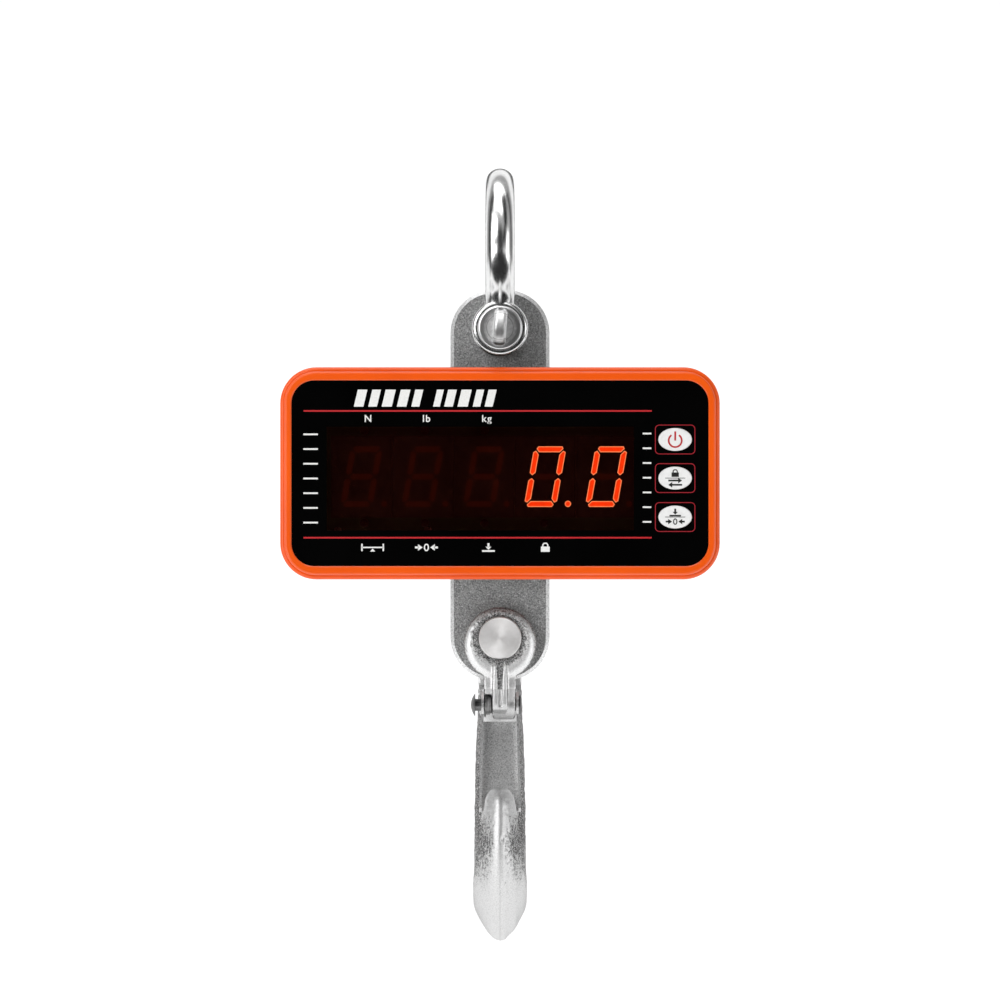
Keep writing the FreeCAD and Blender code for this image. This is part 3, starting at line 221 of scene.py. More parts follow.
def satin_steel():
    """Turned stainless: satin dish inside a brighter lip, one scribed ring painted as a thin dark shade line.
    """
    s = Shader("satin_steel", Metallic=1.0)
    radius = s.math("MULTIPLY", s.from_axis(UPPER_PIN), 1 / (10 * MM))
    lip = s.ramp(radius, [(0.535, 0.0), (0.555, 1.0)])
    dish = s.ramp(s.noise(1.0, 5.0), [(0.3, grey(0.74)), (0.7, grey(0.98))])
    # groove: a thin ring of painted shade, a darker base colour where the scribed line runs
    groove = s.ramp(radius, [(0.42, 1.0), (0.44, 0.35), (0.46, 1.0)])
    dish = s.mix("MULTIPLY", 0.7, dish, groove)
    s.base(s.mix("MIX", lip, dish, (0.93, 0.93, 0.93)))
    s.rough(s.math("SUBTRACT", 1.0, lip), 0.30, 0.46)
    s.bump(s.noise(0.3, 3.0), 0.010)
    return s.material


def cell_steel():
    """Blasted steel plate: mid grey with a coarse grain, and a painted highlight on its bevelled edges."""
    s = Shader("cell_steel", Metallic=1.0)
    grain = s.noise(0.42, 3.0, 0.75)
    dots = s.cells(0.55)
    color = s.ramp(grain, [(0.30, grey(0.15)), (0.45, grey(0.39)), (0.56, grey(0.59)), (0.70, grey(0.98))])
    color = s.mix("MULTIPLY", 0.30, color, s.ramp(dots, [(0.05, grey(0.35)), (0.45, grey(1.0))]))
    cloud = s.noise(7.0, 4.0)
    color = s.mix("MULTIPLY", 0.5, color, s.ramp(cloud, [(0.3, grey(0.70)), (0.7, grey(1.0))]))
    # Painted highlight: faces turned part way from the front, the bevelled edges, get a lighter colour.
    bevel_highlight = s.math("MULTIPLY", s.steep("Y", 0.2, 0.4), s.math("SUBTRACT", 1.0, s.steep("Y", 0.8, 0.9)))
    s.base(s.mix("MIX", bevel_highlight, color, s.ramp(grain, [(0.3, grey(0.45)), (0.6, grey(0.95))])))
    s.rough(grain, 0.42, 0.62)
    s.bump(grain, 0.05)
    s.bump(s.noise(1.1, 3.0), 0.03)
    return s.material


def forged_steel():
    """Bright plated forging, dark-speckled on its flanks, on the ear's rim, round the pin and in the rib's
    groove: partly the pitted skin, partly painted shade where the surface turns away from the front or lies
    in a recess.
    """
    s = Shader("forged_steel", **{"Specular IOR Level": 0.25})
    grain = s.noise(0.35, 4.0, 0.65)
    speckle = s.noise(0.50, 4.0, 0.75)
    bright = s.ramp(grain, [(0.30, grey(0.62)), (0.5, grey(0.84)), (0.7, grey(0.97))])
    dark = s.ramp(speckle, [(0.40, grey(0.03)), (0.50, grey(0.16)), (0.58, grey(0.48)),
                            (0.68, grey(0.85))])
    place = s.add("ShaderNodeSeparateXYZ")
    s.link(s.place, place.inputs["Vector"])
    on_clevis = s.math("GREATER_THAN", place.outputs["Z"], CLEVIS_END)
    behind = s.math("GREATER_THAN", place.outputs["Y"], SPINE_Y)
    past_point = s.span(place.outputs["Z"], *FLANK_SHADE_PAST_POINT)
    # flank: painted shade on surfaces turned sideways, together with the pitted skin there
    flank = s.math("MAXIMUM", s.math("MULTIPLY", s.steep("X", 0.45, 0.95), past_point),
                   s.math("MULTIPLY", behind, s.steep("X", 0.35, 0.75)))
    above_bend = s.span(place.outputs["Z"], *FLANK_SHADE_ABOVE_BEND)
    flank = s.math("MULTIPLY", flank, s.math("SUBTRACT", above_bend, on_clevis))
    # rim and hollow: painted shade where the ear turns away from the front and in the recess round the pin
    rim = s.math("SUBTRACT", 1.0, s.steep("Y", 0.20, 0.75))
    reach = s.math("MULTIPLY", s.from_axis(LOWER_PIN), 1 / (20 * MM))
    hollow_shade = s.ramp(reach, [(0.36, 0.95), (0.54, 0.0)])
    # groove: painted shade on the floor of the rib's groove
    half_width, floor_y, play = (value * MM for value in RIB_FLOOR)
    across = s.math("LESS_THAN", s.math("ABSOLUTE", place.outputs["X"]), half_width)
    floor = s.math("LESS_THAN", s.math("ABSOLUTE", s.math("SUBTRACT", place.outputs["Y"], floor_y)), play)
    groove = s.math("MULTIPLY", s.math("MULTIPLY", across, floor), 0.8)
    ear = s.math("MULTIPLY", on_clevis, s.math("MAXIMUM", s.math("MAXIMUM", rim, hollow_shade), groove))
    patches = s.math("MULTIPLY", s.math("SUBTRACT", s.noise(0.9, 5.0, 0.8), 0.5), 2.4)
    # The dark speckle goes where this mask is high: pitted skin and painted shade together.
    pits_and_painted_shade = s.ramp(s.math("ADD", s.math("MAXIMUM", flank, ear), patches), [(0.30, 0.0), (0.62, 1.0)])
    bright = s.mix("MIX", on_clevis, s.mix("MULTIPLY", 1.0, bright, grey(0.82)), bright)
    color = s.mix("MIX", pits_and_painted_shade, bright, dark)
    s.link(s.math("SUBTRACT", 1.0, s.math("MULTIPLY", pits_and_painted_shade, 0.45)), s.surface.inputs["Metallic"])
    off_line = s.math("MULTIPLY", s.math("ABSOLUTE", place.outputs["X"]), 1 / (0.5 * MM))
    seam = s.math("MAXIMUM", s.ramp(off_line, [(0.2, 0.0), (0.8, 1.0)]), on_clevis)
    s.base(s.mix("MULTIPLY", 0.10, color, seam))
    s.rough(grain, 0.40, 0.58)
    s.bump(s.noise(1.6, 5.0, 0.6), 0.06)
    s.bump(s.math("MULTIPLY", speckle, pits_and_painted_shade), 0.16)
    s.bump(grain, 0.03)
    return s.material


def turned_steel():
    """Faced pin end: fine concentric turning marks round the pin's axis."""
    s = Shader("turned_steel", Metallic=0.8, Roughness=0.50, Anisotropic=0.7)
    radius = s.from_axis(LOWER_PIN)
    fine = s.math("SINE", s.math("MULTIPLY", radius, 2 * math.pi / (0.19 * MM)))
    coarse = s.math("SINE", s.math("MULTIPLY", radius, 2 * math.pi / (0.61 * MM)))
    s.bump(s.math("ADD", fine, coarse), 0.0010)
    s.base(s.ramp(s.noise(2.4, 4.0), [(0.35, (0.86, 0.85, 0.84)), (0.65, (0.97, 0.96, 0.955))]))
    tangent = s.add("ShaderNodeTangent", direction_type="RADIAL", axis="Y")
    s.link(tangent.outputs["Tangent"], s.surface.inputs["Tangent"])
    return s.material


def latch_steel():
    """Pressed sheet, tumbled to a satin grey, with a painted highlight on the edges turned sideways."""
    s = Shader("latch_steel", Metallic=1.0)
    grain = s.noise(0.40, 3.0, 0.7)
    front = s.ramp(grain, [(0.32, grey(0.34)), (0.5, grey(0.72)), (0.68, grey(0.98))])
    # side: painted highlight, a lighter and less metallic colour for the edges turned sideways; the face gets
    # the grainier grey
    side = s.ramp(grain, [(0.3, grey(0.72)), (0.6, grey(0.95))])
    facing = s.steep("Y", 0.80, 0.92)
    s.base(s.mix("MIX", facing, side, front))
    s.link(s.math("ADD", s.math("MULTIPLY", facing, 0.7), 0.3), s.surface.inputs["Metallic"])
    s.rough(s.noise(1.5, 4.0), 0.33, 0.50)
    s.bump(grain, 0.03)
    return s.material


def small_steel(name, tone, low, high):
    """Plated small parts with drawing marks along their length."""
    s = Shader(name, Metallic=1.0)
    s.base(s.ramp(s.noise(0.8, 4.0), [(0.3, grey(tone * 0.7)), (0.7, grey(tone))]))
    s.rough(s.noise(0.5, 3.0), low, high)
    s.bump(s.noise(0.1, 2.0), 0.002)
    return s.material


def orange_plastic():
    """Glossy moulded shell: faint orange peel, flow clouds and handling haze."""
    s = Shader("orange_plastic", (0.90, 0.11, 0.010), **{"Coat Weight": 0.4, "Coat Roughness": 0.06,
                                                         "Specular IOR Level": 0.3})
    cloud = s.noise(26.0, 3.0)
    s.base(s.ramp(cloud, [(0.3, (0.84, 0.093, 0.003)), (0.7, (0.92, 0.110, 0.004))]))
    s.rough(s.noise(5.0, 5.0, 0.65), 0.26, 0.40)
    s.bump(s.noise(1.3, 2.0), 0.006)
    s.bump(s.noise(0.18, 2.0), 0.0015)
    return s.material


def seal_rubber(name, tone=0.02):
    s = Shader(name)
    s.base(s.ramp(s.noise(0.6, 4.0), [(0.3, grey(tone * 0.7)), (0.7, grey(tone * 1.5))]))
    s.rough(s.noise(1.2, 4.0), 0.55, 0.8)
    s.bump(s.noise(0.25, 3.0), 0.01)
    return s.material


def overlay_black():
    """Back-printed polyester overlay: deep black, smooth, with faint wipe marks."""
    s = Shader("overlay_black", grey(0.0010), **{"Specular IOR Level": 0.22})
    s.rough(s.noise(14.0, 5.0, 0.6, stretch=(1.0, 1.0, 0.35)), 0.07, 0.15)
    s.base(s.ramp(s.noise(30.0, 2.0), [(0.3, grey(0.0007)), (0.7, grey(0.0013))]))
    s.bump(s.noise(0.35, 2.0), 0.0008)
    return s.material


def red_filter():
    """Smoky dark red acrylic over the digits, with a trace of haze painted as a faint glow."""
    s = Shader("red_filter", (0.60, 0.30, 0.22), Roughness=0.02, IOR=1.49,
               **{"Transmission Weight": 1.0, "Specular IOR Level": 0.22, "Emission Strength": 1.0})
    s.base(s.ramp(s.noise(40.0, 2.0), [(0.3, (0.58, 0.29, 0.21)), (0.7, (0.61, 0.31, 0.23))]))
    # Painted glow: a faint emission standing for the haze lit by the room.
    haze_glow = s.ramp(s.noise(22.0, 3.0), [(0.3, (0.0010, 0.0001, 0.0001)), (0.7, (0.0020, 0.0003, 0.0003))])
    s.link(haze_glow, s.surface.inputs["Emission Color"])
    return s.material


def glowing(name, color, strength, base=(0.3, 0.02, 0.005), shine=0.5):
    """Light pipe with an even glow, slightly brighter in its cloudier spots."""
    s = Shader(name, base, **{"Roughness": 0.6, "Specular IOR Level": shine})
    s.surface.inputs["Emission Strength"].default_value = strength
    shade = tuple(0.82 * c for c in color)
    s.link(s.ramp(s.noise(1.4, 3.0), [(0.3, shade), (0.7, color)]), s.surface.inputs["Emission Color"])
    s.bump(s.noise(0.3, 2.0), 0.004)
    return s.material


def moulded(name, color, low=0.35, high=0.55):
    """Plain moulded part with a fine texture."""
    s = Shader(name)
    darker = tuple(0.8 * c for c in color)
    s.base(s.ramp(s.noise(3.0, 4.0), [(0.3, darker), (0.7, color)]))
    s.rough(s.noise(0.9, 4.0), low, high)
    s.bump(s.noise(0.2, 3.0), 0.004)
    return s.material


def key_white():
    s = Shader("key_white", grey(0.86), **{"Specular IOR Level": 0.45})
    s.base(s.ramp(s.noise(2.0, 4.0), [(0.3, (0.80, 0.80, 0.795)), (0.7, (0.90, 0.90, 0.895))]))
    s.rough(s.noise(0.8, 3.0), 0.28, 0.42)
    s.bump(s.noise(0.2, 2.0), 0.002)
    return s.material


def ink(name, color, glow=0.0):
    """Screen-printed ink, a little uneven; glow is a faint painted glow of its own."""
    s = Shader(name, color)
    s.base(s.ramp(s.noise(0.5, 4.0), [(0.25, tuple(0.86 * c for c in color)), (0.6, color)]))
    s.rough(s.noise(0.7, 3.0), 0.35, 0.5)
    s.bump(s.noise(0.12, 2.0), 0.001)
    if glow:
        s.surface.inputs["Emission Color"].default_value = (*color, 1.0)
        s.surface.inputs["Emission Strength"].default_value = glow
    return s.material


looks = {
    "polished_steel": polished_steel(),
    "cell_steel": cell_steel(),
    "forged_steel": forged_steel(),
    "turned_steel": turned_steel(),
    "latch_steel": latch_steel(),
    "spring_steel": small_steel("spring_steel", 0.42, 0.25, 0.4),
    "screw_steel": small_steel("screw_steel", 0.55, 0.22, 0.36),
    "orange_plastic": orange_plastic(),
    "seal_rubber": seal_rubber("seal_rubber"),
    "overlay_black": overlay_black(),
    "red_filter": red_filter(),
    "key_white": key_white(),
    "satin_steel": satin_steel(),
    "rivet_steel": small_steel("rivet_steel", 0.20, 0.28, 0.42),
    "module_black": moulded("module_black", (0.004, 0.003, 0.003), 0.5, 0.7),
    "led_lit": glowing("led_lit", (1.0, 0.075, 0.006), 1.9, (0.02, 0.004, 0.002)),
    # led_dark and lamp_dark: unlit segments and lamps with a faint painted glow in place of the room light
    # that would reach them
    "led_dark": glowing("led_dark", (0.022, 0.0028, 0.0), 1.0, (0.008, 0.002, 0.001)),
    "lamp_dark": glowing("lamp_dark", (0.003, 0.0002, 0.0), 1.0, (0.004, 0.001, 0.001), 0.05),
    "board_green": moulded("board_green", (0.010, 0.090, 0.035), 0.3, 0.45),
    "part_black": moulded("part_black", (0.014, 0.014, 0.015)),
    "battery_wrap": moulded("battery_wrap", (0.02, 0.07, 0.25), 0.2, 0.35),
    "lead_red": moulded("lead_red", (0.35, 0.01, 0.01)),
    "lead_grey": moulded("lead_grey", (0.16, 0.16, 0.165)),
    "foil": moulded("foil", (0.72, 0.45, 0.18), 0.3, 0.45),
    "cover_steel": small_steel("cover_steel", 0.6, 0.28, 0.42),
    "pad_foam": seal_rubber("pad_foam", 0.03),
    "port_rubber": seal_rubber("port_rubber", 0.022),
    "label_plain": moulded("label_plain", (0.52, 0.52, 0.51), 0.35, 0.5),
}
# The panel inks carry a faint painted glow.
white_ink = ink("white_ink", (0.84, 0.84, 0.82), 0.04)
red_ink = ink("red_ink", (0.52, 0.014, 0.020), 0.06)
frame_ink = ink("frame_ink", (0.34, 0.008, 0.018), 0.02)
symbol_red = ink("symbol_red", (0.50, 0.008, 0.014))
symbol_black = ink("symbol_black", (0.012, 0.012, 0.012))
segment_edge = glowing("segment_edge", (1.0, 0.46, 0.22), 2.1, (0.02, 0.004, 0.002))

for part in frame["record"]["subparts"]:
    mesh = nodes[part["node"]].data
    mesh.materials.clear()
    mesh.materials.append(looks[part["material_slot"]])


# The housing shells are hidden from reflections, which keeps their colour out of the polished metal.
for node in ("front_housing", "rear_housing"):
    nodes[node].visible_glossy = False


# ---- mesh helpers ----------------------------------------------------------------
def new_piece(name, mesh, body, slot, material=None):
    piece = bpy.data.objects.new(name, mesh)
    bpy.context.scene.collection.objects.link(piece)
    mesh.materials.append(material or looks[slot])
    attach(piece, body)
    return piece


def smooth(mesh):
    for face in mesh.polygons:
        face.use_smooth = True


def copy_mesh(node, name):
    """One welded mesh with the shape of a CAD node."""
    mesh = bpy.data.meshes.new(name)
    welded = bmesh.new()
    welded.from_mesh(nodes[node].data)
    bmesh.ops.remove_doubles(welded, verts=welded.verts, dist=0.002 * MM)
    welded.to_mesh(mesh)
    welded.free()
    return mesh


def remeshed(node, name, voxel_mm, rounds):
    """A CAD node's shape as one even, closed surface whose inner corners are blended."""
    mesh = copy_mesh(node, name)
    piece = bpy.data.objects.new(name, mesh)
    bpy.context.scene.collection.objects.link(piece)
    step = piece.modifiers.new("even", "REMESH")
    step.mode = "VOXEL"
    step.voxel_size = voxel_mm * MM
    blend = piece.modifiers.new("soften", "SMOOTH")
    blend.factor = 0.5
    blend.iterations = rounds
    made = bpy.data.meshes.new_from_object(piece.evaluated_get(bpy.context.evaluated_depsgraph_get()))
    bpy.data.objects.remove(piece)
    made.name = name
    smooth(made)
    return made


def points_of(mesh):
    flat = np.empty(len(mesh.vertices) * 3)
    mesh.vertices.foreach_get("co", flat)
    return flat.reshape(-1, 3)


def normals_of(mesh):
    flat = np.empty(len(mesh.vertices) * 3)
    mesh.vertex_normals.foreach_get("vector", flat)
    return flat.reshape(-1, 3)


def relaxed(mesh, points, weight, rounds):
    """Points drawn towards their neighbours where the weight is above nought."""
    ends = np.empty(len(mesh.edges) * 2, dtype=np.int64)
    mesh.edges.foreach_get("vertices", ends)
    first, second = ends[0::2], ends[1::2]
    count = np.bincount(ends, minlength=len(points))
    for _ in range(rounds):
        total = [np.bincount(first, points[second, k], len(points))
                 + np.bincount(second, points[first, k], len(points)) for k in range(3)]
        points = points + 0.5 * weight[:, None] * (np.array(total).T / count[:, None] - points)
    return points


def put_points(mesh, points):
    mesh.vertices.foreach_set("co", points.ravel())
    mesh.update()


# ---- prints ------------------------------------------------------------------------
INK = 0.03


class Print:
    """Flat printed shapes in the X-Z plane, in millimetres, raised by one coat of ink."""

    def __init__(self, origin):
        self.origin = Vector(origin)
        self.build = bmesh.new()

    def vertex(self, x, z, up):
        return self.build.verts.new(self.origin + Vector((x, -up, z)) * MM)

    def polygon(self, outline):
        front = [self.vertex(x, z, INK) for x, z in outline]
        back = [self.vertex(x, z, 0.0) for x, z in outline]
        self.build.faces.new(front)
        self.build.faces.new(reversed(back))
        for i in range(len(outline)):
            j = (i + 1) % len(outline)
            self.build.faces.new((front[i], back[i], back[j], front[j]))

    def bar(self, x0, x1, z, width):
        self.polygon([(x0, z - width / 2), (x1, z - width / 2), (x1, z + width / 2), (x0, z + width / 2)])

    def stroke(self, points, width, closed=False):
        """Line of even width through the points."""
        pts = [Vector(p) for p in points]
        count = len(pts)
        rails = []
        for i, p in enumerate(pts):
            before = pts[i - 1] if i or closed else None
            after = pts[(i + 1) % count] if i + 1 < count or closed else None
            first = (p - before).normalized() if before is not None else (after - p).normalized()
            second = (after - p).normalized() if after is not None else first
            side = Vector((-(first + second).y, (first + second).x)).normalized()
            reach = width / 2 / max(0.4, side.dot(Vector((-first.y, first.x))))
            rails.append((p + side * reach, p - side * reach))
        ring = [[self.vertex(q.x, q.y, up) for q in pair for up in (INK, 0.0)] for pair in rails]
        spans = range(count if closed else count - 1)
        for i in spans:
            a, b = ring[i], ring[(i + 1) % count]
            for p, q in ((0, 2), (3, 1), (1, 0), (2, 3)):
                self.build.faces.new((a[p], a[q], b[q], b[p]))
        if not closed:
            for end in (ring[0], ring[-1]):
                self.build.faces.new((end[0], end[1], end[3], end[2]))

    def arc(self, x, z, radius, start, stop, width, steps=24):
        turn = [math.radians(start + (stop - start) * k / steps) for k in range(steps + 1)]
        self.stroke([(x + radius * math.cos(t), z + radius * math.sin(t)) for t in turn], width)

    def frame(self, x, z, w, h, r, width):
        """Outline of a rounded rectangle."""
        points = []
        corners = ((w - r, h - r, 0), (r - w, h - r, 90), (r - w, r - h, 180), (w - r, r - h, 270))
        for cx, cz, start in corners:
            for k in range(7):
                t = math.radians(start + 15 * k)
                points.append((x + cx + r * math.cos(t), z + cz + r * math.sin(t)))
        self.stroke(points, width, closed=True)

    def letters(self, text, x, z, height):
        """Plain capital lettering, for units of measure."""
        curve = bpy.data.curves.new("letters", "FONT")
        curve.body = text
        curve.size = height / 0.70
        curve.align_x = "CENTER"
        curve.space_character = 1.18
        curve.offset = 0.016 * height / 0.70
        holder = bpy.data.objects.new("letters", curve)
        flat = bpy.data.meshes.new_from_object(holder)
        bpy.data.objects.remove(holder)
        flat.transform(Matrix.Translation((x, z - height / 2, 0.0)))
        shape = bmesh.new()
        shape.from_mesh(flat)
        up = bmesh.ops.extrude_face_region(shape, geom=shape.faces[:])
        bmesh.ops.translate(shape, verts=[g for g in up["geom"] if isinstance(g, bmesh.types.BMVert)],
                            vec=(0.0, 0.0, INK))
        for vertex in shape.verts:
            vertex.co = self.origin + Vector((vertex.co.x, -vertex.co.z, vertex.co.y)) * MM
        shape.to_mesh(flat)
        shape.free()
        self.build.from_mesh(flat)
        bpy.data.meshes.remove(flat)

    def finish(self, name, body, slot, material):
        bmesh.ops.recalc_face_normals(self.build, faces=self.build.faces)
        mesh = bpy.data.meshes.new(name)
        self.build.to_mesh(mesh)
        self.build.free()
        return new_piece(name, mesh, body, slot, material)


def padlock(p, x, z, s):
    p.polygon([(x - 0.5 * s, z - 0.5 * s), (x + 0.5 * s, z - 0.5 * s), (x + 0.5 * s, z + 0.1 * s),
               (x - 0.5 * s, z + 0.1 * s)])
    shackle = [(-0.28, 0.1), (-0.28, 0.3), (-0.14, 0.47), (0.14, 0.47), (0.28, 0.3), (0.28, 0.1)]
    p.stroke([(x + across * s, z + up * s) for across, up in shackle], 0.14 * s)


def arrow(p, x0, x1, z, s):
    """Arrow from x0 to x1 with a head as tall as s."""
    way = 1 if x1 > x0 else -1
    p.bar(min(x0, x1 - way * s * 0.5), max(x0, x1 - way * s * 0.5), z, 0.26 * s)
    p.polygon([(x1, z), (x1 - way * 0.6 * s, z + 0.42 * s), (x1 - way * 0.6 * s, z - 0.42 * s)][::way])


def nought(p, x, z, s):
    turn = [2 * math.pi * k / 20 for k in range(20)]
    p.stroke([(x + 0.26 * s * math.cos(t), z + 0.42 * s * math.sin(t)) for t in turn], 0.16 * s, closed=True)


def tray(p, x, z, s):
    """Weighing pan with an arrow down onto it."""
    p.bar(x - 0.75 * s, x + 0.75 * s, z - 0.42 * s, 0.20 * s)
    p.bar(x - 0.12 * s, x + 0.12 * s, z + 0.25 * s, 0.5 * s)
    p.polygon([(x - 0.34 * s, z + 0.08 * s), (x, z - 0.28 * s), (x + 0.34 * s, z + 0.08 * s)])


def steady(p, x, z, s):
    """Level line between two still marks."""
    p.bar(x - 1.3 * s, x + 1.3 * s, z, 0.16 * s)
    p.polygon([(x - 0.3 * s, z - 0.5 * s), (x + 0.3 * s, z - 0.5 * s), (x, z - 0.12 * s)])
    for side in (-1, 1):
        p.bar(x + side * 1.3 * s - 0.09 * s, x + side * 1.3 * s + 0.09 * s, z, 0.9 * s)


def zeroing(p, x, z, s):
    arrow(p, x - 1.5 * s, x - 0.5 * s, z, s)
    nought(p, x, z, s)
    arrow(p, x + 1.5 * s, x + 0.5 * s, z, s)


def swap(p, x, z, s):
    arrow(p, x - 0.9 * s, x + 0.9 * s, z + 0.28 * s, 0.85 * s)
    arrow(p, x + 0.9 * s, x - 0.9 * s, z - 0.28 * s, 0.85 * s)


# Places on the panel, in millimetres from the middle of the housing.
RULE_X = (-64.6, 49.9)
RULE_Z = (20.5, -21.2)
RULE_WIDTH = 0.52
TICK_PITCH = 4.84
TICK_COUNT = 7
TICK_TOP_Z = 12.8
TICK_WIDTH = 0.54
UNIT_Z = 18.05
LABEL_Z = -24.4
TITLE_X = -48.1
TITLE_Z = (21.9, 27.5)
panel = (0.0, PANEL_Y, HOUSING_Z)


def panel_rules():
    p = Print(panel)
    for z in RULE_Z:
        p.bar(*RULE_X, z, RULE_WIDTH)
    p.finish("panel_red_rules", "scale", "overlay_black", red_ink)
    p = Print(panel)
    for key in KEYS:
        low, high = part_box(key)
        x = (low[0] + high[0]) / 2 / MM
        z = ((low[2] + high[2]) / 2 - HOUSING_Z) / MM
        p.frame(x, z, 6.5, 4.75, 1.3, 0.28)
    p.finish("panel_key_frames", "scale", "overlay_black", frame_ink)


def window_border():
    """Black border printed round the window, over its ledge."""
    low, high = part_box("display_window")
    x, z = (low[0] + high[0]) / 2 / MM, ((low[2] + high[2]) / 2 - HOUSING_Z) / MM
    half_w, half_h = (high[0] - low[0]) / 2 / MM - 0.45, (high[2] - low[2]) / 2 / MM - 0.45
    p = Print(panel)
    p.frame(x, z, half_w, half_h, 0.3, 1.0)
    p.finish("window_border", "scale", "overlay_black", looks["overlay_black"])


def panel_marks():
    p = Print(panel)
    for k in range(TICK_COUNT):
        z = TICK_TOP_Z - TICK_PITCH * k
        p.bar(-64.7, -59.9, z, TICK_WIDTH)
        p.bar(46.95, 49.75, z + 0.25, TICK_WIDTH)
    for unit, x in (("N", -43.4), ("lb", -24.2), ("kg", -4.4)):
        p.letters(unit, x, UNIT_Z, 2.3)
    steady(p, -41.9, LABEL_Z, 2.7)
    zeroing(p, -24.2, LABEL_Z, 2.5)
    tray(p, -3.8, LABEL_Z, 2.8)
    padlock(p, 14.9, LABEL_Z, 2.9)
    p.finish("panel_white_print", "scale", "overlay_black", white_ink)


def title_bars():
    """Two groups of slanted bars where the panel has its heading."""
    p = Print(panel)
    low, high = TITLE_Z
    lean = (high - low) * 0.24
    gap = 0.75
    x = TITLE_X
    for group in ((3.9, 3.6, 4.1, 3.9, 3.4), (3.0, 3.6, 4.1, 3.2, 3.4)):
        for w in group:
            right = x + w - gap
            p.polygon([(x, low), (right, low), (right + lean, high), (x + lean, high)])
            x += w * 1.22
        x += 4 * gap
    p.finish("panel_heading", "scale", "overlay_black", white_ink)


def key_prints():
    for key in KEYS:
        low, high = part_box(key)
        centre = ((low[0] + high[0]) / 2, low[1], (low[2] + high[2]) / 2)
        p = Print(centre)
        if key == "key_power":
            p.arc(0, -0.35, 2.15, 125, 415, 0.55, 40)
            p.bar(-0.3, 0.3, 1.15, 3.0)
        elif key == "key_hold_unit":
            padlock(p, 0, 1.6, 2.4)
            swap(p, 0, -1.5, 2.5)
            p.bar(-3.3, 3.3, 0, 0.2)
        else:
            tray(p, 0, 1.5, 2.5)
            zeroing(p, 0, -1.5, 2.1)
            p.bar(-3.3, 3.3, 0, 0.2)
        p.finish(key + "_print", key, "key_white", symbol_red if key == "key_power" else symbol_black)


panel_rules()
window_border()
panel_marks()
title_bars()
key_prints()


# ---- lit segments: bright rim round each light pipe ---------------------------------
def lit_segments():
    mesh = copy_mesh("led_segments_lit", "segments_lit")
    shape = bmesh.new()
    shape.from_mesh(mesh)
    bmesh.ops.dissolve_limit(shape, angle_limit=math.radians(2), verts=shape.verts, edges=shape.edges)
    fronts = [face for face in shape.faces if face.normal.y < -0.9]
    for face in shape.faces:
        face.material_index = 0
    bmesh.ops.inset_individual(shape, faces=fronts, thickness=0.28 * MM, depth=0.0, use_even_offset=True)
    shape.normal_update()
    for face in shape.faces:
        if face.normal.y < -0.9 and face not in fronts:
            face.material_index = 1
    shape.to_mesh(mesh)
    shape.free()
    piece = new_piece("segments_lit", mesh, "scale", "led_lit")
    mesh.materials.append(segment_edge)
    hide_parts("led_segments_lit")


lit_segments()


# ---- hook: one even forged surface ---------------------------------------------------
def hook():
    """The forging with its rough skin: real dents and pits, always inwards of the CAD surface."""
    mesh = remeshed("hook_forging", "hook_forged", 0.32, 4)
    points = points_of(mesh)
    low_end = points[:, 2] < HOOK_START
    put_points(mesh, relaxed(mesh, points, low_end.astype(float), 40))
    points, normals = points_of(mesh), normals_of(mesh)
    depth = np.empty(len(points))
    for i, p in enumerate(points):
        q = Vector(p)
        broad = 0.5 + 0.9 * noise.noise(q / (4.5 * MM))
        grain = 0.5 + 0.9 * noise.noise(q / (1.5 * MM))
        fine = 0.5 + 0.9 * noise.noise(q / (0.8 * MM))
        flank = min(1.0, max(0.0, 1.6 * abs(normals[i][0]) - 0.4))
        if p[2] > CLEVIS_END:
            flank *= 0.12
        flank *= min(1.0, max(0.0, (p[2] - SMOOTH_BEND[0]) / SMOOTH_BEND[1]))
        depth[i] = 0.04 * broad + 0.02 * grain + flank * (0.12 * broad + 0.14 * grain + 0.08 * fine)
    near = np.hypot(points[:, 0] - PIT.x, (points[:, 2] - PIT.z) * 0.5)
    depth += np.where(points[:, 1] < POINT_Y, 0.45 * np.exp(-(near / (0.6 * MM)) ** 2), 0.0)
    put_points(mesh, points - normals * (np.clip(depth, 0.0, 0.6) * MM)[:, None])
    piece = new_piece("hook_forged", mesh, "hook", "forged_steel")
    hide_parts("hook_forging")


hook()


# ---- latch spring: a real coil with one leg --------------------------------------------
def latch_spring():
    low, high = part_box("latch_spring")
    wire = 0.3
    coil_r = 3.1
    turns = 3.6
    x0, x1 = low[0] / MM + wire, high[0] / MM - wire
    curve = bpy.data.curves.new("latch_spring_coil", "CURVE")
    curve.dimensions = "3D"
    curve.bevel_depth = wire * MM
    curve.bevel_resolution = 4
    curve.use_fill_caps = True
    spline = curve.splines.new("NURBS")
    steps = 72
    start = math.radians(20.5)
    points = []
    for k in range(steps + 1):
        t = start + 2 * math.pi * turns * k / steps
        x = x0 + (x1 - x0) * k / steps
        points.append((x, coil_r * math.cos(t), coil_r * math.sin(t)))
    across, down = math.cos(start), math.sin(start)
    leg = [(x0, coil_r * across - u * down, coil_r * down - u * across) for u in (5.5, 4.5, 3.5, 2.0)]
    points = leg + points
    spline.points.add(len(points) - 1)
    for point, (x, y, z) in zip(spline.points, points):
        point.co = (x * MM, LATCH_PIN.y + y * MM, LATCH_PIN.z + z * MM, 1.0)
    spline.order_u = 3
    spline.use_endpoint_u = True
    holder = bpy.data.objects.new("holder", curve)
    mesh = bpy.data.meshes.new_from_object(holder)
    bpy.data.objects.remove(holder)
    smooth(mesh)
    piece = new_piece("latch_spring_coil", mesh, "latch", "spring_steel")
    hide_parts("latch_spring")


latch_spring()


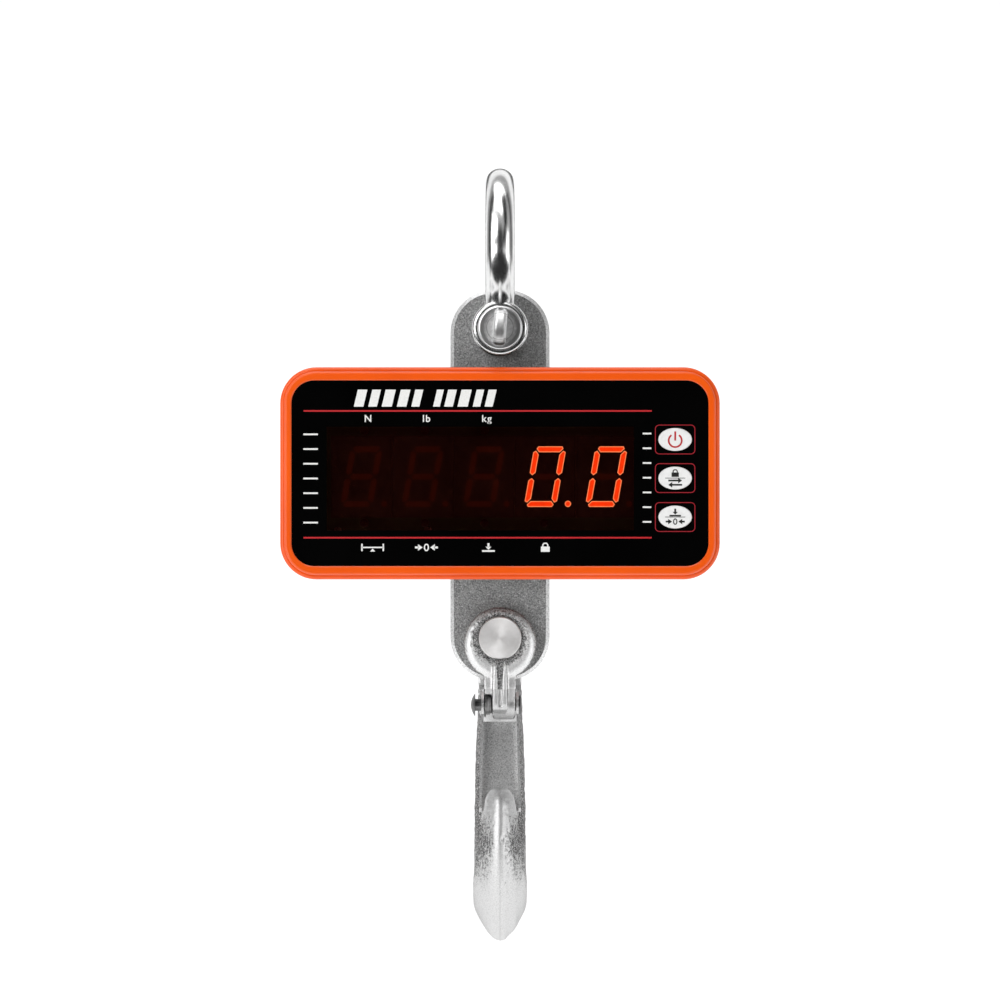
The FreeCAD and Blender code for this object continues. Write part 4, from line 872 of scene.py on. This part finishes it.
# ---- studio --------------------------------------------------------------------------
def plain(name, level, glow):
    """Even grey surface; glow is how bright it shines by itself."""
    material = bpy.data.materials.new(name)
    material.use_nodes = True
    surface = material.node_tree.nodes["Principled BSDF"]
    surface.inputs["Base Color"].default_value = (level, level, level, 1.0)
    surface.inputs["Roughness"].default_value = 1.0
    surface.inputs["Specular IOR Level"].default_value = 0.0
    surface.inputs["Emission Color"].default_value = (1.0, 1.0, 1.0, 1.0)
    surface.inputs["Emission Strength"].default_value = glow
    return material


def backdrop():
    """Bright floor that sweeps up into a wall well behind the object."""
    floor_z = cad_box[0][2] - 0.25
    back_y, bend, top = 1.8, 0.6, 2.6
    profile = [(-2.4, floor_z)]
    for k in range(13):
        t = math.radians(90 * k / 12)
        profile.append((back_y - bend + bend * math.sin(t), floor_z + bend - bend * math.cos(t)))
    profile.append((back_y, top))
    build = bmesh.new()
    rails = [[build.verts.new((x, y, z)) for y, z in profile] for x in (-3.0, 3.0)]
    for i in range(len(profile) - 1):
        build.faces.new((rails[0][i], rails[0][i + 1], rails[1][i + 1], rails[1][i]))
    mesh = bpy.data.meshes.new("backdrop")
    build.to_mesh(mesh)
    build.free()
    smooth(mesh)
    mesh.materials.append(plain("bright_backdrop", 0.35, 0.86))
    sweep = bpy.data.objects.new("backdrop", mesh)
    bpy.context.scene.collection.objects.link(sweep)


def aimed(place, target):
    return (Vector(target) - Vector(place)).to_track_quat("-Z", "Y").to_euler()


def around(turn, lift, distance):
    """Place round the housing: degrees right of the front, degrees up, metres away."""
    a, b = math.radians(turn), math.radians(lift)
    return Vector((math.sin(a) * math.cos(b), -math.cos(a) * math.cos(b), math.sin(b))) * distance + middle


def flag(name, turn, lift, distance, size, level=0.0):
    """Card outside the picture that only shows as a dark reflection."""
    mesh = bpy.data.meshes.new(name)
    w, h = size[0] / 2, size[1] / 2
    mesh.from_pydata([(-w, -h, 0), (w, -h, 0), (w, h, 0), (-w, h, 0)], [], [(0, 1, 2, 3)])
    mesh.materials.append(plain(name, level, 0.0))
    card = bpy.data.objects.new(name, mesh)
    card.location = around(turn, lift, distance)
    card.rotation_euler = aimed(card.location, middle)
    card.visible_camera = False
    card.visible_shadow = False
    bpy.context.scene.collection.objects.link(card)


def bow_card(name, low, high, level=0.0):
    """Card near the shackle, seen only as a reflection; two corners, from the housing's middle."""
    mesh = bpy.data.meshes.new(name)
    (x0, y0, z0), (x1, y1, z1) = low, high
    corners = ((x0, y0, z0), (x1, y0, z0), (x1, y1, z1), (x0, y1, z1))
    mesh.from_pydata([middle + Vector(corner) for corner in corners], [], [(0, 1, 2, 3)])
    mesh.materials.append(plain(name, level, 0.0))
    card = bpy.data.objects.new(name, mesh)
    card.visible_camera = False
    card.visible_shadow = False
    card.visible_diffuse = False
    bpy.context.scene.collection.objects.link(card)


def edge_flags():
    """Dark cards behind, just outside the picture, that draw a dark rim on the metal."""
    far = 1.55
    inner = 0.45
    outer = 0.85
    for side in (-1, 1):
        x = side * (inner + outer) / 2
        turn = math.degrees(math.atan2(x, -far))
        flag("rim_flag_%d" % side, turn, 0, math.hypot(x, far), (outer - inner, 1.6), 0.03)
    height = (inner + outer) / 2
    lift = math.degrees(math.atan2(height, far))
    flag("rim_flag_top", 180, lift, math.hypot(height, far), (1.7, outer - inner), 0.03)
    flag("rim_flag_low", 180, -32, 0.75, (0.8, 0.25), 0.05)


def soft_light(name, turn, lift, distance, size, radiance):
    """Softbox that looks as bright as radiance from the object."""
    data = bpy.data.lights.new(name, "AREA")
    data.shape = "RECTANGLE"
    data.size, data.size_y = size
    data.energy = radiance * math.pi * size[0] * size[1]
    lamp = bpy.data.objects.new(name, data)
    lamp.location = around(turn, lift, distance)
    lamp.rotation_euler = aimed(lamp.location, middle)
    bpy.context.scene.collection.objects.link(lamp)


def surroundings():
    """Dim room, black where the camera stands."""
    world = bpy.data.worlds.new("studio")
    bpy.context.scene.world = world
    world.use_nodes = True
    tree = world.node_tree
    place = tree.nodes.new("ShaderNodeTexCoord")
    split = tree.nodes.new("ShaderNodeSeparateXYZ")
    tree.links.new(place.outputs["Generated"], split.inputs["Vector"])
    ramp = tree.nodes.new("ShaderNodeValToRGB")
    stops = [(0.0, 0.34), (0.60, 0.42), (0.84, 0.42), (0.95, 0.03), (1.0, 0.0)]
    elements = ramp.color_ramp.elements
    while len(elements) < len(stops):
        elements.new(0.5)
    for element, (at, level) in zip(elements, stops):
        element.position = at
        element.color = (level, level, level, 1.0)
    away = tree.nodes.new("ShaderNodeMath")
    away.operation = "MULTIPLY"
    away.inputs[1].default_value = -1.0
    tree.links.new(split.outputs["Y"], away.inputs[0])
    tree.links.new(away.outputs["Value"], ramp.inputs["Fac"])
    tree.links.new(ramp.outputs["Color"], tree.nodes["Background"].inputs["Color"])


def camera():
    """Level with a point a little below the display, 0.96 m in front of the load line."""
    data = bpy.data.cameras.new("camera")
    data.lens = 102.5
    data.sensor_width = 36.0
    data.clip_start = 0.01
    data.clip_end = 100.0
    eye = bpy.data.objects.new("camera", data)
    eye.location = (0.0, -0.96, HOUSING_Z - 8.8 * MM)
    eye.rotation_euler = (math.radians(90), 0.0, 0.0)
    bpy.context.scene.collection.objects.link(eye)
    bpy.context.scene.camera = eye


middle = Vector((0.0, 0.0, HOUSING_Z))
backdrop()
surroundings()
soft_light("left_softbox", -46, 12, 1.2, (1.05, 1.2), 2.0)
soft_light("right_softbox", 62, -4, 1.2, (0.5, 0.9), 1.7)
soft_light("top_softbox", -20, 74, 1.1, (1.3, 1.0), 1.9)
flag("left_flag", -86, 20, 0.7, (0.30, 1.2))
flag("right_flag", 96, 20, 0.8, (0.16, 1.2), 0.02)
flag("high_right_flag", 48, 48, 0.8, (0.34, 0.7))
flag("front_flag", 0, -38, 0.9, (0.85, 1.05), 0.02)
bow_card("bow_card_low", (-0.11, -0.034, 0.030), (0.11, -0.17, 0.030))
bow_card("bow_card_left", (-0.24, -0.22, 0.060), (-0.085, -0.30, 0.115), 0.02)
bow_card("bow_card_right", (0.10, -0.30, 0.060), (0.27, -0.20, 0.16), 0.02)
edge_flags()
camera()
bpy.context.scene.view_settings.view_transform = "Standard"
bpy.context.view_layer.update()
